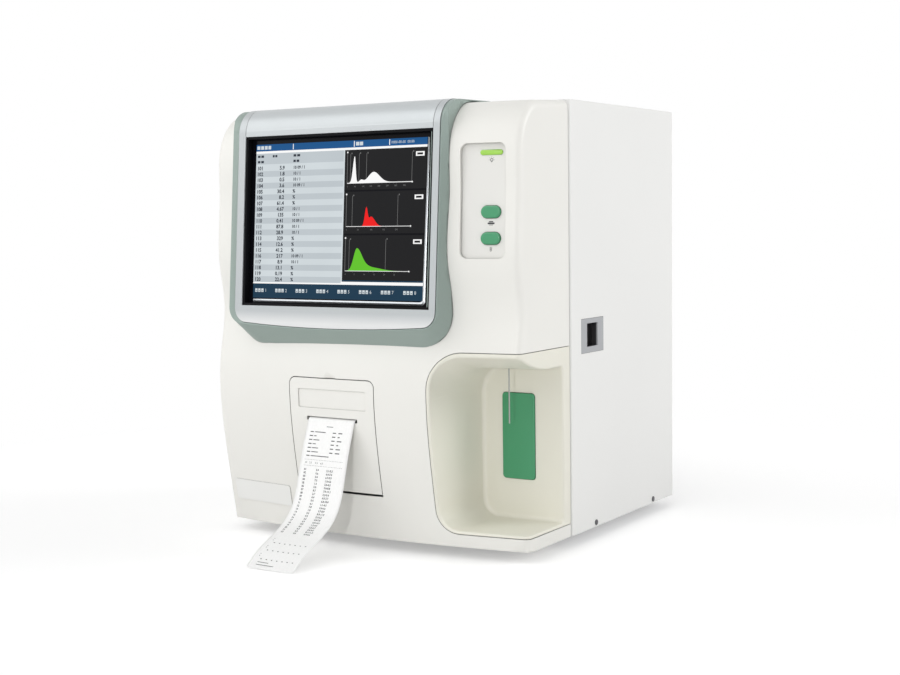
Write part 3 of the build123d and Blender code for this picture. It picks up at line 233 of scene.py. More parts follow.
def satin_paint(name, colour, metallic, roughness, low=None, band=(0, 1)):
    """Metallic paint: small bright flakes over a satin ground, painted shade in its seams, and another tone
    below a band of heights for a painted highlight.
    """
    material, tree, surface = shader(name)
    flakes = object_noise(tree, 2600.0, 1.0)
    tone = mottled(tree, flakes, colour, 0.955, 1.045)
    if low is not None:
        place = tree.nodes.new("ShaderNodeTexCoord")
        split = tree.nodes.new("ShaderNodeSeparateXYZ")
        tree.links.new(place.outputs["Object"], split.inputs["Vector"])
        middle, width = (band[0] + band[1]) / 2 * MM, (band[1] - band[0]) / 2 * MM
        mix = tree.nodes.new("ShaderNodeMix")
        mix.data_type = "RGBA"
        tree.links.new(spread(tree, split.outputs["Z"], 0, 1, middle, width), mix.inputs["Factor"])
        mix.inputs["A"].default_value = (*low, 1)
        tree.links.new(tone, mix.inputs["B"])
        tone = mix.outputs["Result"]
    # painted shade: the colour darkens in seams and narrow gaps
    painted_seam_shade(tree, surface, tone, PAINTWORK_SEAM_SHADE)
    surface.inputs["Metallic"].default_value = metallic
    clouds = object_noise(tree, 60.0, 2.0)
    tree.links.new(spread(tree, clouds.outputs["Fac"], roughness - 0.02, roughness + 0.03),
                   surface.inputs["Roughness"])
    relief(tree, surface, flakes.outputs["Fac"], 0.12, 0.00004, 0.6 * MM)
    return material


def brushed(name, colour, roughness=0.34, stretch=(1, 1, 40), metallic=1.0):
    """Metal with long, fine brush lines along one direction."""
    material, tree, surface = shader(name)
    lines = object_noise(tree, 900.0, 2.0, tuple(1 / s for s in stretch))
    tree.links.new(mottled(tree, lines, colour, 0.88, 1.08), surface.inputs["Base Color"])
    surface.inputs["Metallic"].default_value = metallic
    tree.links.new(spread(tree, lines.outputs["Fac"], roughness - 0.06, roughness + 0.08),
                   surface.inputs["Roughness"])
    relief(tree, surface, lines.outputs["Fac"], 0.15, 0.00004, 0.3 * MM)
    return material


def rubbery(name, colour):
    """Dull rubber with a mottled surface."""
    material, tree, surface = shader(name)
    mottle = object_noise(tree, 700.0, 3.0)
    tree.links.new(mottled(tree, mottle, colour, 0.8, 1.3), surface.inputs["Base Color"])
    tree.links.new(spread(tree, mottle.outputs["Fac"], 0.62, 0.8), surface.inputs["Roughness"])
    relief(tree, surface, mottle.outputs["Fac"], 0.3, 0.0001, 0.4 * MM)
    return material


def clear(name, colour, roughness=0.05, alpha=0.35):
    """Clear plastic or glass with a faint wave in its gloss."""
    material, tree, surface = shader(name)
    wave = object_noise(tree, 40.0, 1.0)
    tree.links.new(mottled(tree, wave, colour, 0.95, 1.0), surface.inputs["Base Color"])
    gloss = spread(tree, wave.outputs["Fac"], roughness, roughness + 0.04)
    tree.links.new(gloss, surface.inputs["Roughness"])
    surface.inputs["Alpha"].default_value = alpha
    return material


def circuit_board(name):
    """Green solder mask with faint copper tracks on a square grid."""
    material, tree, surface = shader(name)
    place = tree.nodes.new("ShaderNodeTexCoord")
    tracks = tree.nodes.new("ShaderNodeTexBrick")
    tracks.inputs["Scale"].default_value = 90
    tracks.inputs["Mortar Size"].default_value = 0.03
    tracks.inputs["Color1"].default_value = (0.012, 0.10, 0.035, 1)
    tracks.inputs["Color2"].default_value = (0.018, 0.13, 0.05, 1)
    tracks.inputs["Mortar"].default_value = (0.05, 0.22, 0.09, 1)
    turn = tree.nodes.new("ShaderNodeMapping")
    turn.inputs["Rotation"].default_value = (0, math.pi / 2, 0)
    tree.links.new(place.outputs["Object"], turn.inputs["Vector"])
    tree.links.new(turn.outputs["Vector"], tracks.inputs["Vector"])
    tree.links.new(tracks.outputs["Color"], surface.inputs["Base Color"])
    surface.inputs["Roughness"].default_value = 0.35
    return material


def display_light(name, colour):
    """A lit patch of the display under its glossy front."""
    material, tree, surface = shader(name)
    glow = object_noise(tree, 25.0, 1.0)
    tree.links.new(mottled(tree, glow, colour, 0.97, 1.02), surface.inputs["Emission Color"])
    surface.inputs["Base Color"].default_value = (0.004, 0.004, 0.004, 1)
    surface.inputs["Emission Strength"].default_value = 1.0
    surface.inputs["Roughness"].default_value = 0.3
    surface.inputs["Specular IOR Level"].default_value = 0.06
    return material


def thermal_paper(name):
    """Smooth coated paper with a faint fibre."""
    material, tree, surface = shader(name)
    fibre = object_noise(tree, 900.0, 4.0, (1, 0.35, 0.35))
    tone = between(tree, spread(tree, fibre.outputs["Fac"], 0, 1), (0.86, 0.86, 0.85), (0.92, 0.92, 0.915))
    tree.links.new(tone, surface.inputs["Base Color"])
    surface.inputs["Roughness"].default_value = 0.55
    relief(tree, surface, fibre.outputs["Fac"], 0.1, 0.00003)
    return material


def printed(name, colour):
    """Flat ink whose tone wanders a little."""
    material, tree, surface = shader(name)
    grain = object_noise(tree, 3000.0, 1.0)
    tree.links.new(mottled(tree, grain, colour, 0.9, 1.25), surface.inputs["Base Color"])
    surface.inputs["Roughness"].default_value = 0.6
    return material


# Meshes


def new_piece(name, vertices, faces, materials, body=None, indices=None, smooth=False):
    """Makes a mesh from arrays in metres, with its finishes, that rides on a body if one is named."""
    mesh = bpy.data.meshes.new(name)
    mesh.from_pydata(np.asarray(vertices).tolist(), [], [list(face) for face in faces])
    for material in materials:
        mesh.materials.append(material)
    if indices is not None:
        mesh.polygons.foreach_set("material_index", np.asarray(indices, dtype=np.int32))
    mesh.polygons.foreach_set("use_smooth", np.full(len(mesh.polygons), smooth))
    mesh.update()
    piece = bpy.data.objects.new(name, mesh)
    bpy.context.scene.collection.objects.link(piece)
    if body:
        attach(piece, body)
    return piece


def give(node, material):
    """Puts one finish on a CAD part."""
    mesh = nodes[node].data
    mesh.materials.clear()
    mesh.materials.append(material)


# Between which places the edges of the screen's opening lie, in millimetres, and how far each is moved
OPENING_LEFT = -131
RIGHT_EDGE, RIGHT_SHIFT = (93, 97.5), 3.8
LOWER_EDGE, LOWER_SHIFT = (249, 253.5), -2.4
UPPER_EDGE, UPPER_SHIFT = (417, 427), 1.6
FACE_FOOT = 248


def window_shift(points):
    """How far each point of the screen surround moves, so that the opening is as wide as it looks: the right
    edge goes outwards, and so do the lower edge and the upper one. Points are in millimetres."""
    x, z = points[:, 0], points[:, 2]
    beside = (x > OPENING_LEFT) & (x < RIGHT_EDGE[1])
    right = (x > RIGHT_EDGE[0]) & (x < RIGHT_EDGE[1]) & (z > FACE_FOOT)
    lower = beside & (z > LOWER_EDGE[0]) & (z < LOWER_EDGE[1])
    upper = beside & (z > UPPER_EDGE[0]) & (z < UPPER_EDGE[1])
    shift = np.zeros_like(points)
    shift[:, 0] = np.where(right, RIGHT_SHIFT, 0)
    shift[:, 2] = np.where(lower, LOWER_SHIFT, np.where(upper, UPPER_SHIFT, 0))
    return shift


def rounded(node, material, angle=32, shift=None):
    """Stands in for a curved CAD part with the same shape, its facets merged and shaded smooth."""
    mesh = nodes[node].data.copy()
    if shift:
        points = np.zeros(len(mesh.vertices) * 3)
        mesh.vertices.foreach_get("co", points)
        points = points.reshape(-1, 3)
        mesh.vertices.foreach_set("co", (points + shift(points / MM) * MM).ravel())
    mesh.name = node + "_smooth"
    work = bmesh.new()
    work.from_mesh(mesh)
    bmesh.ops.remove_doubles(work, verts=work.verts, dist=2e-6)
    work.to_mesh(mesh)
    work.free()
    mesh.materials.clear()
    mesh.materials.append(material)
    mesh.polygons.foreach_set("use_smooth", np.ones(len(mesh.polygons), bool))
    mesh.set_sharp_from_angle(angle=math.radians(angle))
    piece = bpy.data.objects.new(node + "_smooth", mesh)
    bpy.context.scene.collection.objects.link(piece)
    weights = piece.modifiers.new("even shading", "WEIGHTED_NORMAL")
    weights.keep_sharp = True
    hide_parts(node)
    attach(piece, body_of[node])
    return piece


def grid_faces(rows, columns):
    """Quads between neighbouring points of a grid that is stored row by row."""
    index = np.arange(rows * columns).reshape(rows, columns)
    return np.stack([index[:-1, :-1], index[:-1, 1:], index[1:, 1:], index[1:, :-1]], -1).reshape(-1, 4)


class Sheet:
    """Flat shapes gathered on one surface: points are (u, v, lift) in millimetres, each with a finish."""

    def __init__(self):
        self.points, self.faces, self.marks, self.count = [], [], [], 0

    def add(self, points, faces, mark):
        """Adds faces over points (n, 3)."""
        points = np.asarray(points, float)
        self.points.append(points)
        self.faces += [[corner + self.count for corner in face] for face in faces]
        self.marks += [mark] * len(faces)
        self.count += len(points)

    def bar(self, u0, u1, v0, v1, mark, lift=0.0):
        """A rectangle."""
        self.add([(u0, v0, lift), (u1, v0, lift), (u1, v1, lift), (u0, v1, lift)], [(0, 1, 2, 3)], mark)

    def band(self, u, low, high, mark, lift=0.0):
        """The strip between two heights over the same u."""
        u, low, high = np.broadcast_arrays(np.asarray(u, float), low, high)
        level = np.full(len(u), lift)
        points = np.concatenate([np.stack([u, low, level], 1), np.stack([u, high, level], 1)])
        self.add(points, grid_faces(2, len(u)), mark)

    def ring(self, u, v, outer, inner, mark, lift=0.0, steps=32):
        """A ring round (u, v): radius times (cos t, sin t). It is a disc where the inner radius is 0."""
        turn = np.linspace(0, 2 * np.pi, steps, endpoint=False)
        level = np.full(steps, lift)
        rim = np.stack([u + outer * np.cos(turn), v + outer * np.sin(turn), level], 1)
        if inner <= 0:
            self.add(rim, [tuple(range(steps))], mark)
            return
        core = np.stack([u + inner * np.cos(turn), v + inner * np.sin(turn), level], 1)
        following = np.roll(np.arange(steps), -1)
        faces = np.stack([np.arange(steps) + steps, np.arange(steps), following, following + steps], 1)
        self.add(np.concatenate([rim, core]), faces, mark)

    def figures(self, lines, u, v, height, pitch, mark, lift=0.0, align="LEFT", weight=0.0):
        """Lines of plain figures, the first line's middle at v; weight thickens their strokes."""
        curve = bpy.data.curves.new("figures", "FONT")
        curve.body = "\n".join(lines)
        curve.size = height * 1.4
        curve.space_line = pitch / curve.size
        curve.align_x = align
        curve.resolution_u = 2
        curve.offset = weight * curve.size
        holder = bpy.data.objects.new("figures", curve)
        bpy.context.scene.collection.objects.link(holder)
        mesh = bpy.data.meshes.new_from_object(holder)
        flat = np.zeros(len(mesh.vertices) * 3)
        mesh.vertices.foreach_get("co", flat)
        flat = flat.reshape(-1, 3)
        points = np.stack([flat[:, 0] + u, flat[:, 1] + v - height / 2, np.full(len(flat), lift)], 1)
        self.add(points, [tuple(face.vertices) for face in mesh.polygons], mark)
        bpy.data.meshes.remove(mesh)
        bpy.data.objects.remove(holder)
        bpy.data.curves.remove(curve)

    def arrays(self):
        """All points and faces together."""
        return np.concatenate(self.points), self.faces, self.marks


# Screen

SCREEN_TILT = math.radians(4.48)
SCREEN_CENTRE = np.array([-16.7, -116.8 + SEAM_Y, 335.0])
SCREEN_OUT = np.array([0, -math.cos(SCREEN_TILT), math.sin(SCREEN_TILT)])
SCREEN_UP = np.array([0, math.sin(SCREEN_TILT), math.cos(SCREEN_TILT)])
GLASS_LIFT = -0.6

# Places on the screen, in millimetres from its centre
PICTURE_SIDE = 105.6
HEADER_LOW, HEADER_HIGH = 72.2, 79.2
TABLE_LOW, TABLE_HIGH, TABLE_SIDE = -63.2, 69.9, 6.4
HEADING_LOW, FIRST_ROW = 58.7, 54.7
NUMBER_COLUMN, VALUE_COLUMN, UNIT_COLUMN = -104, -68, -57
PLOT_SIDE, PLOT_RIGHT = 8.2, 104.6
FOOTER_LOW, FOOTER_HIGH, FOOTER_LINE = -79.2, -64.4, -71.3

# The picture's finishes by their number
HEADER, ROW, ROW_DARK, GROUND, FOOTER, WHITE, RED, GREEN, INK, GATE = range(10)

VALUES = ("5.9", "1.8", "0.5", "3.6", "30.4", "8.2", "61.4", "4.67", "135", "0.41", "87.8", "28.9", "329",
          "12.6", "41.2", "217", "8.9", "13.1", "0.19", "22.4")
PERCENT_ROWS = (4, 5, 6, 12, 13, 14, 17, 18, 19)
FIRST_NUMBER = 101
# How far the figures' strokes are thickened, as a share of their size
BOLD = 0.035

# Each plot: its box, its base line and right end, its gates, its tick figures, and its curve's finish,
# ground and peaks, each peak by height, centre, width and skew
PLOTS = (
    ((PLOT_SIDE, 105.2, 29.9, 70), 36.6, 89.2, (15, 25.5, 34.5, 88.5),
     ((12, "0"), (21, "50"), (31, "100"), (40, "150"), (50, "200"), (60, "250"), (70, "300"), (80, "350")),
     WHITE, 0.5, ((27, 20.0, 2.6, 0.75), (10.2, 43.5, 8.5, 1.15), (2.6, 28.5, 3.2, 1.0))),
    ((PLOT_SIDE, 105, -13.4, 28.2), -6.4, 88.5, (18.5, 73),
     ((12, "0"), (26, "50"), (42, "100"), (57, "150"), (72, "200")),
     RED, 0.1, ((19, 35.6, 2.4, 1.05), (9.6, 41.5, 3.4, 1.9))),
    ((PLOT_SIDE, PLOT_RIGHT, -59.6, -15.2), -50.6, 88, (16, 60),
     ((12, "0"), (23, "5"), (35, "10"), (47, "15"), (59, "20"), (71, "25")),
     GREEN, 0.2, ((22.4, 25.4, 5.4, 1.75), (3.6, 42, 9, 2.0))),
)
PLOT_LEFT = 11.6

RIM_LEFT, RIM_SIDE, RIM_LOW, RIM_HIGH = -105.0, 107.6, -83.4, 79.0
RIM_RISE = 0.8


def on_screen(points):
    """Carries (u, v, lift) to the screen's plane: centre plus u across, v up and lift outwards."""
    across = np.array([1.0, 0, 0])
    place = SCREEN_CENTRE + points[:, :1] * across + points[:, 1:2] * SCREEN_UP
    return (place + (points[:, 2:] + GLASS_LIFT) * SCREEN_OUT) * MM


def peak(u, centre, width, skew):
    """A bell curve, exp(-((u - centre) / width) squared), whose right side is wider by the skew."""
    spread_u = np.where(u > centre, width * skew, width)
    return np.exp(-(((u - centre) / spread_u) ** 2))


def corner_line(start, centre, radius, end):
    """A line from start to end by way of a quarter circle: centre plus radius times (cos t, sin t), with t
    from -90 degrees to 0."""
    turn = np.linspace(-math.pi / 2, 0, 10)
    arc = np.stack([centre[0] + radius * np.cos(turn), centre[1] + radius * np.sin(turn)], 1)
    return np.concatenate([[start], arc, [end]])


def draw_plot(sheet, plot):
    """One dark plot: its ground, the filled curve, the axes, gate lines, tick figures and a pale tab."""
    (u0, u1, v0, v1), base, right, gates, ticks, finish, ground, peaks = plot
    sheet.bar(u0, u1, v0, v1, GROUND, 0.06)
    u = np.linspace(PLOT_LEFT, right, 90)
    sheet.band(u, base, base + ground + sum(height * peak(u, *form) for height, *form in peaks), finish, 0.12)
    sheet.bar(PLOT_LEFT - 0.2, right, base - 0.25, base + 0.25, WHITE, 0.18)
    sheet.bar(PLOT_LEFT - 0.6, PLOT_LEFT - 0.1, base - 0.3, v1 - 3, GATE, 0.18)
    for place in gates:
        sheet.bar(place - 0.2, place + 0.2, base, v1 - 4, GATE, 0.1)
        sheet.bar(place + 0.9, place + 1.9, v1 - 4.4, v1 - 3, GATE, 0.1)
    sheet.ring(PLOT_LEFT - 0.35, v1 - 2.6, 0.9, 0, WHITE, 0.18, steps=12)
    sheet.ring(right, base, 0.8, 0, WHITE, 0.2, steps=12)
    for place, text in ticks:
        sheet.figures([text], place, base - 3.2, 1.5, 3, GATE, 0.18, "CENTER")
    sheet.bar(u1 - 12.6, u1 - 2.6, v1 - 8.6, v1 - 4.2, WHITE, 0.12)
    sheet.bar(u1 - 11, u1 - 4.4, v1 - 7.4, v1 - 5.4, GROUND, 0.18)


class COUNTER_OT_screen_picture(Operator):
    """Draw the picture on the screen: header, table of figures, three plots and soft keys"""

    bl_idname = "counter.screen_picture"
    bl_label = "Screen Picture"

    def execute(self, context):
        colours, sizes = context.scene.counter_colours, context.scene.counter_sizes
        finishes = [
            display_light("screen_header", colours.header),
            display_light("screen_rows", colours.rows),
            display_light("screen_rows_dark", colours.rows_dark),
            display_light("screen_ground", colours.plots),
            display_light("screen_footer", colours.footer),
            display_light("screen_white", linear((250, 250, 250))),
            display_light("screen_red", linear((240, 26, 26))),
            display_light("screen_green", linear((98, 194, 41))),
            display_light("screen_ink", linear((52, 58, 68))),
            display_light("screen_gate", linear((120, 120, 120))),
        ]
        sheet = Sheet()
        self.header(sheet)
        self.table(sheet, sizes.row_pitch / MM, sizes.digit / MM)
        for plot in PLOTS:
            draw_plot(sheet, plot)
        self.footer(sheet)
        points, faces, marks = sheet.arrays()
        new_piece("screen_picture", on_screen(points), faces, finishes, "analyzer", marks)
        points, faces, marks = self.rim().arrays()
        metal = brushed("rim_metal", (0.50, 0.52, 0.54), roughness=0.42)
        new_piece("screen_rim", on_screen(points), faces, [metal], "analyzer", marks)
        front = moulded("touch_front", (0.004, 0.004, 0.006), roughness=0.16, grain=0.05, edge=0, gloss=0.08)
        give("touch_glass", front)
        seal = moulded("gasket", (0.004, 0.004, 0.005), roughness=0.5, grain=0.3, gloss=0.1)
        rounded("screen_gasket", seal, 30, window_shift)
        return {"FINISHED"}

    def header(self, sheet):
        """The bar along the top with its three dividers, six plain icons and a row of zeros."""
        sheet.bar(-PICTURE_SIDE, PICTURE_SIDE, HEADER_LOW, HEADER_HIGH, HEADER, 0.06)
        sheet.bar(-PICTURE_SIDE, PICTURE_SIDE, TABLE_HIGH, HEADER_LOW, WHITE, 0.06)
        for u in (-58, 18.5, 61):
            sheet.bar(u, u + 0.9, 73, 78.6, WHITE, 0.12)
        for u, width in ((-104.6, 4), (-99.6, 4), (-94.6, 3.6), (-90, 3.6), (21, 4), (25.6, 4)):
            sheet.bar(u, u + width, 74, 77.6, ROW, 0.12)
        sheet.figures(["0000-00-00  00:00"], 63.5, 75.8, 2.6, 4, ROW, 0.12)

    def table(self, sheet, pitch, digit):
        """Rows in two tones, bars for the headings, and three columns: number, value and unit."""
        sheet.bar(-PICTURE_SIDE, 7.9, TABLE_LOW, TABLE_HIGH, ROW, 0.02)
        sheet.bar(-PICTURE_SIDE, TABLE_SIDE, HEADING_LOW, TABLE_HIGH, ROW_DARK, 0.05)
        for i in range(1, len(VALUES), 2):
            v = FIRST_ROW - i * pitch
            sheet.bar(-PICTURE_SIDE, TABLE_SIDE, v - pitch / 2, v + pitch / 2, ROW_DARK, 0.05)
        for u, top, width in ((-103.5, 68, 8), (-103.5, 62.4, 8), (-84, 68, 6), (UNIT_COLUMN, 68, 8.5),
                              (UNIT_COLUMN, 62.4, 7.5)):
            sheet.bar(u, u + width * 0.42, top - 2.4, top, INK, 0.1)
            sheet.bar(u + width * 0.55, u + width, top - 2.4, top, INK, 0.1)
        numbers = [str(FIRST_NUMBER + i) for i in range(len(VALUES))]
        sheet.figures(numbers, NUMBER_COLUMN, FIRST_ROW, digit, pitch, INK, 0.1, "LEFT", BOLD)
        sheet.figures(VALUES, VALUE_COLUMN, FIRST_ROW, digit, pitch, INK, 0.1, "RIGHT", BOLD)
        for i in range(len(VALUES)):
            if i in PERCENT_ROWS:
                unit, height = "%", digit * 0.9
            else:
                unit, height = "10 / 1" if i % 3 else "10 09 / 1", digit * 0.8
            v = FIRST_ROW - i * pitch
            sheet.figures([unit], UNIT_COLUMN, v, height, pitch, INK, 0.1, "LEFT", BOLD)

    def footer(self, sheet):
        """The bar along the bottom with eight soft keys, each three small blocks and a number."""
        sheet.bar(PLOT_SIDE, PLOT_RIGHT, -61.4, -59.9, FOOTER, 0.06)
        sheet.bar(-PICTURE_SIDE, PICTURE_SIDE, FOOTER_HIGH, -61.4, WHITE, 0.03)
        sheet.bar(-PICTURE_SIDE, PICTURE_SIDE, FOOTER_LOW, FOOTER_HIGH, FOOTER, 0.05)
        for key in range(8):
            u = -102.5 + 26.4 * key
            sheet.figures([str(key + 1)], u + 12.5, FOOTER_LINE, 3.4, 4, ROW, 0.12)
            for left in (u, u + 4, u + 8):
                sheet.bar(left - 0.2, left + 2.8, FOOTER_LINE - 1.9, FOOTER_LINE + 1.7, ROW, 0.12)
                sheet.bar(left + 0.5, left + 2.1, FOOTER_LINE - 1, FOOTER_LINE - 0.4, FOOTER, 0.16)

    def rim(self):
        """The metal rim at the lower right: a ridge halfway between an outer and an inner line."""
        outer_end, inner_end = (RIM_SIDE + 0.4, RIM_HIGH), (RIM_SIDE - 1.2, RIM_HIGH)
        outer = corner_line((RIM_LEFT, RIM_LOW), (RIM_SIDE - 4, RIM_LOW + 4), 4, outer_end)
        inner = corner_line((RIM_LEFT, RIM_LOW + 3), (RIM_SIDE - 6.2, RIM_LOW + 6), 3, inner_end)
        flat = np.zeros((len(outer), 1))
        ridge = np.hstack([(outer + inner) / 2, flat + RIM_RISE])
        sheet = Sheet()
        for first, second in ((np.hstack([inner, flat]), ridge), (ridge, np.hstack([outer, flat]))):
            sheet.add(np.concatenate([first, second]), grid_faces(2, len(outer)), 0)
        return sheet


# Keypad

PANEL_YAW = math.radians(7.836354)
PANEL_OUT = np.array([0.136118, -0.989019, 0.057564])
PANEL_ACROSS = np.array([math.cos(PANEL_YAW), math.sin(PANEL_YAW), 0])
PANEL_UP = np.cross(PANEL_OUT, PANEL_ACROSS)
PANEL_RECESS = 4.2
PANEL_CENTRE = np.array([148.3, -107.798 + SEAM_Y, 351.6]) - PANEL_RECESS * PANEL_OUT
MARK_LIFT = 0.04

# Middles of the three marks on the keypad, in millimetres from its centre
LAMP_MARK = (7.0, 38.6)
PRINT_MARK = (7.0, -21.0)
SAMPLE_MARK = (7.0, -46.2)


def on_panel(points):
    """Carries (u, v, lift) to the keypad plate: centre plus u across, v up and lift outwards."""
    place = PANEL_CENTRE + points[:, :1] * PANEL_ACROSS + points[:, 1:2] * PANEL_UP
    return (place + points[:, 2:] * PANEL_OUT) * MM


class COUNTER_OT_keypad_marks(Operator):
    """Print a small mark under the light bar and under each key, and finish the keypad"""

    bl_idname = "counter.keypad_marks"
    bl_label = "Keypad Marks"

    def execute(self, context):
        colours, sizes = context.scene.counter_colours, context.scene.counter_sizes
        size = sizes.mark / MM
        sheet = Sheet()
        self.lamp_mark(sheet, *LAMP_MARK, size)
        self.print_mark(sheet, *PRINT_MARK, size)
        self.sample_mark(sheet, *SAMPLE_MARK)
        points, faces, marks = sheet.arrays()
        points[:, 2] += MARK_LIFT
        ink = printed("mark_ink", (0.02, 0.02, 0.024))
        new_piece("keypad_marks", on_panel(points), faces, [ink], "analyzer", marks)
        green = moulded("key_green", colours.keys, roughness=0.24, grain=0.08, coat=0.35, edge=0.3)
        for node in ("print_button", "sampling_button"):
            rounded(node, green, 40)
        lens = moulded("lamp_lens_green", colours.lamp, roughness=0.2, grain=0.05, coat=0.4, edge=0.3)
        surface = lens.node_tree.nodes["Principled BSDF"]
        surface.inputs["Emission Color"].default_value = (*colours.lamp, 1)
        surface.inputs["Emission Strength"].default_value = 0.15
        rounded("lamp_lens", lens, 40)
        give("control_panel", moulded("keypad_plate", linear((226, 225, 221)), roughness=0.42, grain=0.2))
        give("keypad_board", circuit_board("keypad_board_mask"))
        return {"FINISHED"}

    def lamp_mark(self, sheet, u, v, size):
        """A lamp: a ring over a short stub, with five rays from 0.3 to 0.44 of the size."""
        sheet.ring(u, v + 0.3, size * 0.22, size * 0.14, 0)
        sheet.bar(u - 0.45, u + 0.45, v - 1.9, v - 1.2, 0)
        for turn in np.radians((0, 45, 90, 135, 180)):
            reach = np.array([math.cos(turn), math.sin(turn)]) * size
            side = np.array([-math.sin(turn), math.cos(turn)]) * 0.16
            near, far = reach * 0.3, reach * 0.44
            ends = (near - side, far - side, far + side, near + side)
            sheet.add([(u + across, v + 0.3 + up, 0) for across, up in ends], [(0, 1, 2, 3)], 0)

    def print_mark(self, sheet, u, v, size):
        """A printer: a wide bar, a narrow one over it and two lines of paper under it."""
        sheet.bar(u - size * 0.5, u + size * 0.5, v - 0.9, v + 0.6, 0)
        sheet.bar(u - size * 0.3, u + size * 0.3, v + 0.9, v + 1.9, 0)
        for low in (-2.1, -1.5):
            sheet.bar(u - size * 0.3, u + size * 0.3, v + low, v + low + 0.25, 0)

    def sample_mark(self, sheet, u, v):
        """A tube with a needle: a ring, two walls, a rim and a thin upright bar."""
        sheet.ring(u, v - 0.6, 0.95, 0.6, 0)
        for left in (u - 0.95, u + 0.62):
            sheet.bar(left, left + 0.33, v - 0.5, v + 1.7, 0)
        sheet.bar(u - 1.4, u + 1.4, v + 1.7, v + 2.05, 0)
        sheet.bar(u - 0.14, u + 0.14, v - 0.3, v + 3.0, 0, 0.02)


# Printed strip

STRIP_LINE = np.array([
    (-116, 134.2), (-121.5, 133.8), (-127.5, 120), (-134.5, 100), (-140.5, 80), (-146, 62), (-153, 48),
    (-163, 37), (-178, 27.5), (-195, 20), (-209, 13), (-219, 6), (-226, 0.6),
])
STRIP_WIDTH = 58.0
STRIP_X = -24.0
STRIP_THICKNESS = 0.12
STRIP_GAP = 0.3
CURL_START = 30

# Left edges of the print's three columns, across from the strip's middle, and its rows
PRINT_COLUMNS = (-23, -8, 5)
PRINT_START = 14.0
PRINT_ROWS = 22
ROW_STEP = 3.45


def smooth_path(points, count):
    """A path through the points: between two points, the cubic whose slopes are those of their neighbours."""
    before = np.vstack([points[:1] * 2 - points[1:2], points, points[-1:] * 2 - points[-2:-1]])
    place = np.linspace(0, len(points) - 1 - 1e-9, count)
    k = place.astype(int)
    t = (place - k)[:, None]
    a, b, c, d = before[k], before[k + 1], before[k + 2], before[k + 3]
    return 0.5 * (2 * b + (c - a) * t + (2 * a - 5 * b + 4 * c - d) * t**2 + (3 * b - a - 3 * c + d) * t**3)


class StripShape:
    """The strip's middle line, sampled evenly by length, with the direction that its printed side faces."""

    def __init__(self, curl):
        self.line = smooth_path(STRIP_LINE, 1200) + (SEAM_Y, 0)
        self.length = np.concatenate([[0], np.cumsum(np.hypot(*np.diff(self.line, axis=0).T))])
        self.total = self.length[-1]
        self.curl = curl

    def middle(self, s):
        """The line's y and z at the length s."""
        return np.interp(s, self.length, self.line[:, 0]), np.interp(s, self.length, self.line[:, 1])

    def place(self, u, s, lift):
        """u across from the middle, s along from the slot, lift off the printed side. The edges rise by the
        curl times (u over half the width) squared times (the share of the way to the loose end) squared."""
        y, z = self.middle(s)
        (y0, z0), (y1, z1) = self.middle(s - 1), self.middle(s + 1)
        size = np.hypot(y1 - y0, z1 - z0)
        way = np.clip((s - CURL_START) / (self.total - CURL_START), 0, 1)
        rise = lift + STRIP_GAP + self.curl * (u / (STRIP_WIDTH / 2)) ** 2 * way**2
        return np.stack([u + STRIP_X, y + rise * (z1 - z0) / size, z - rise * (y1 - y0) / size], -1) * MM


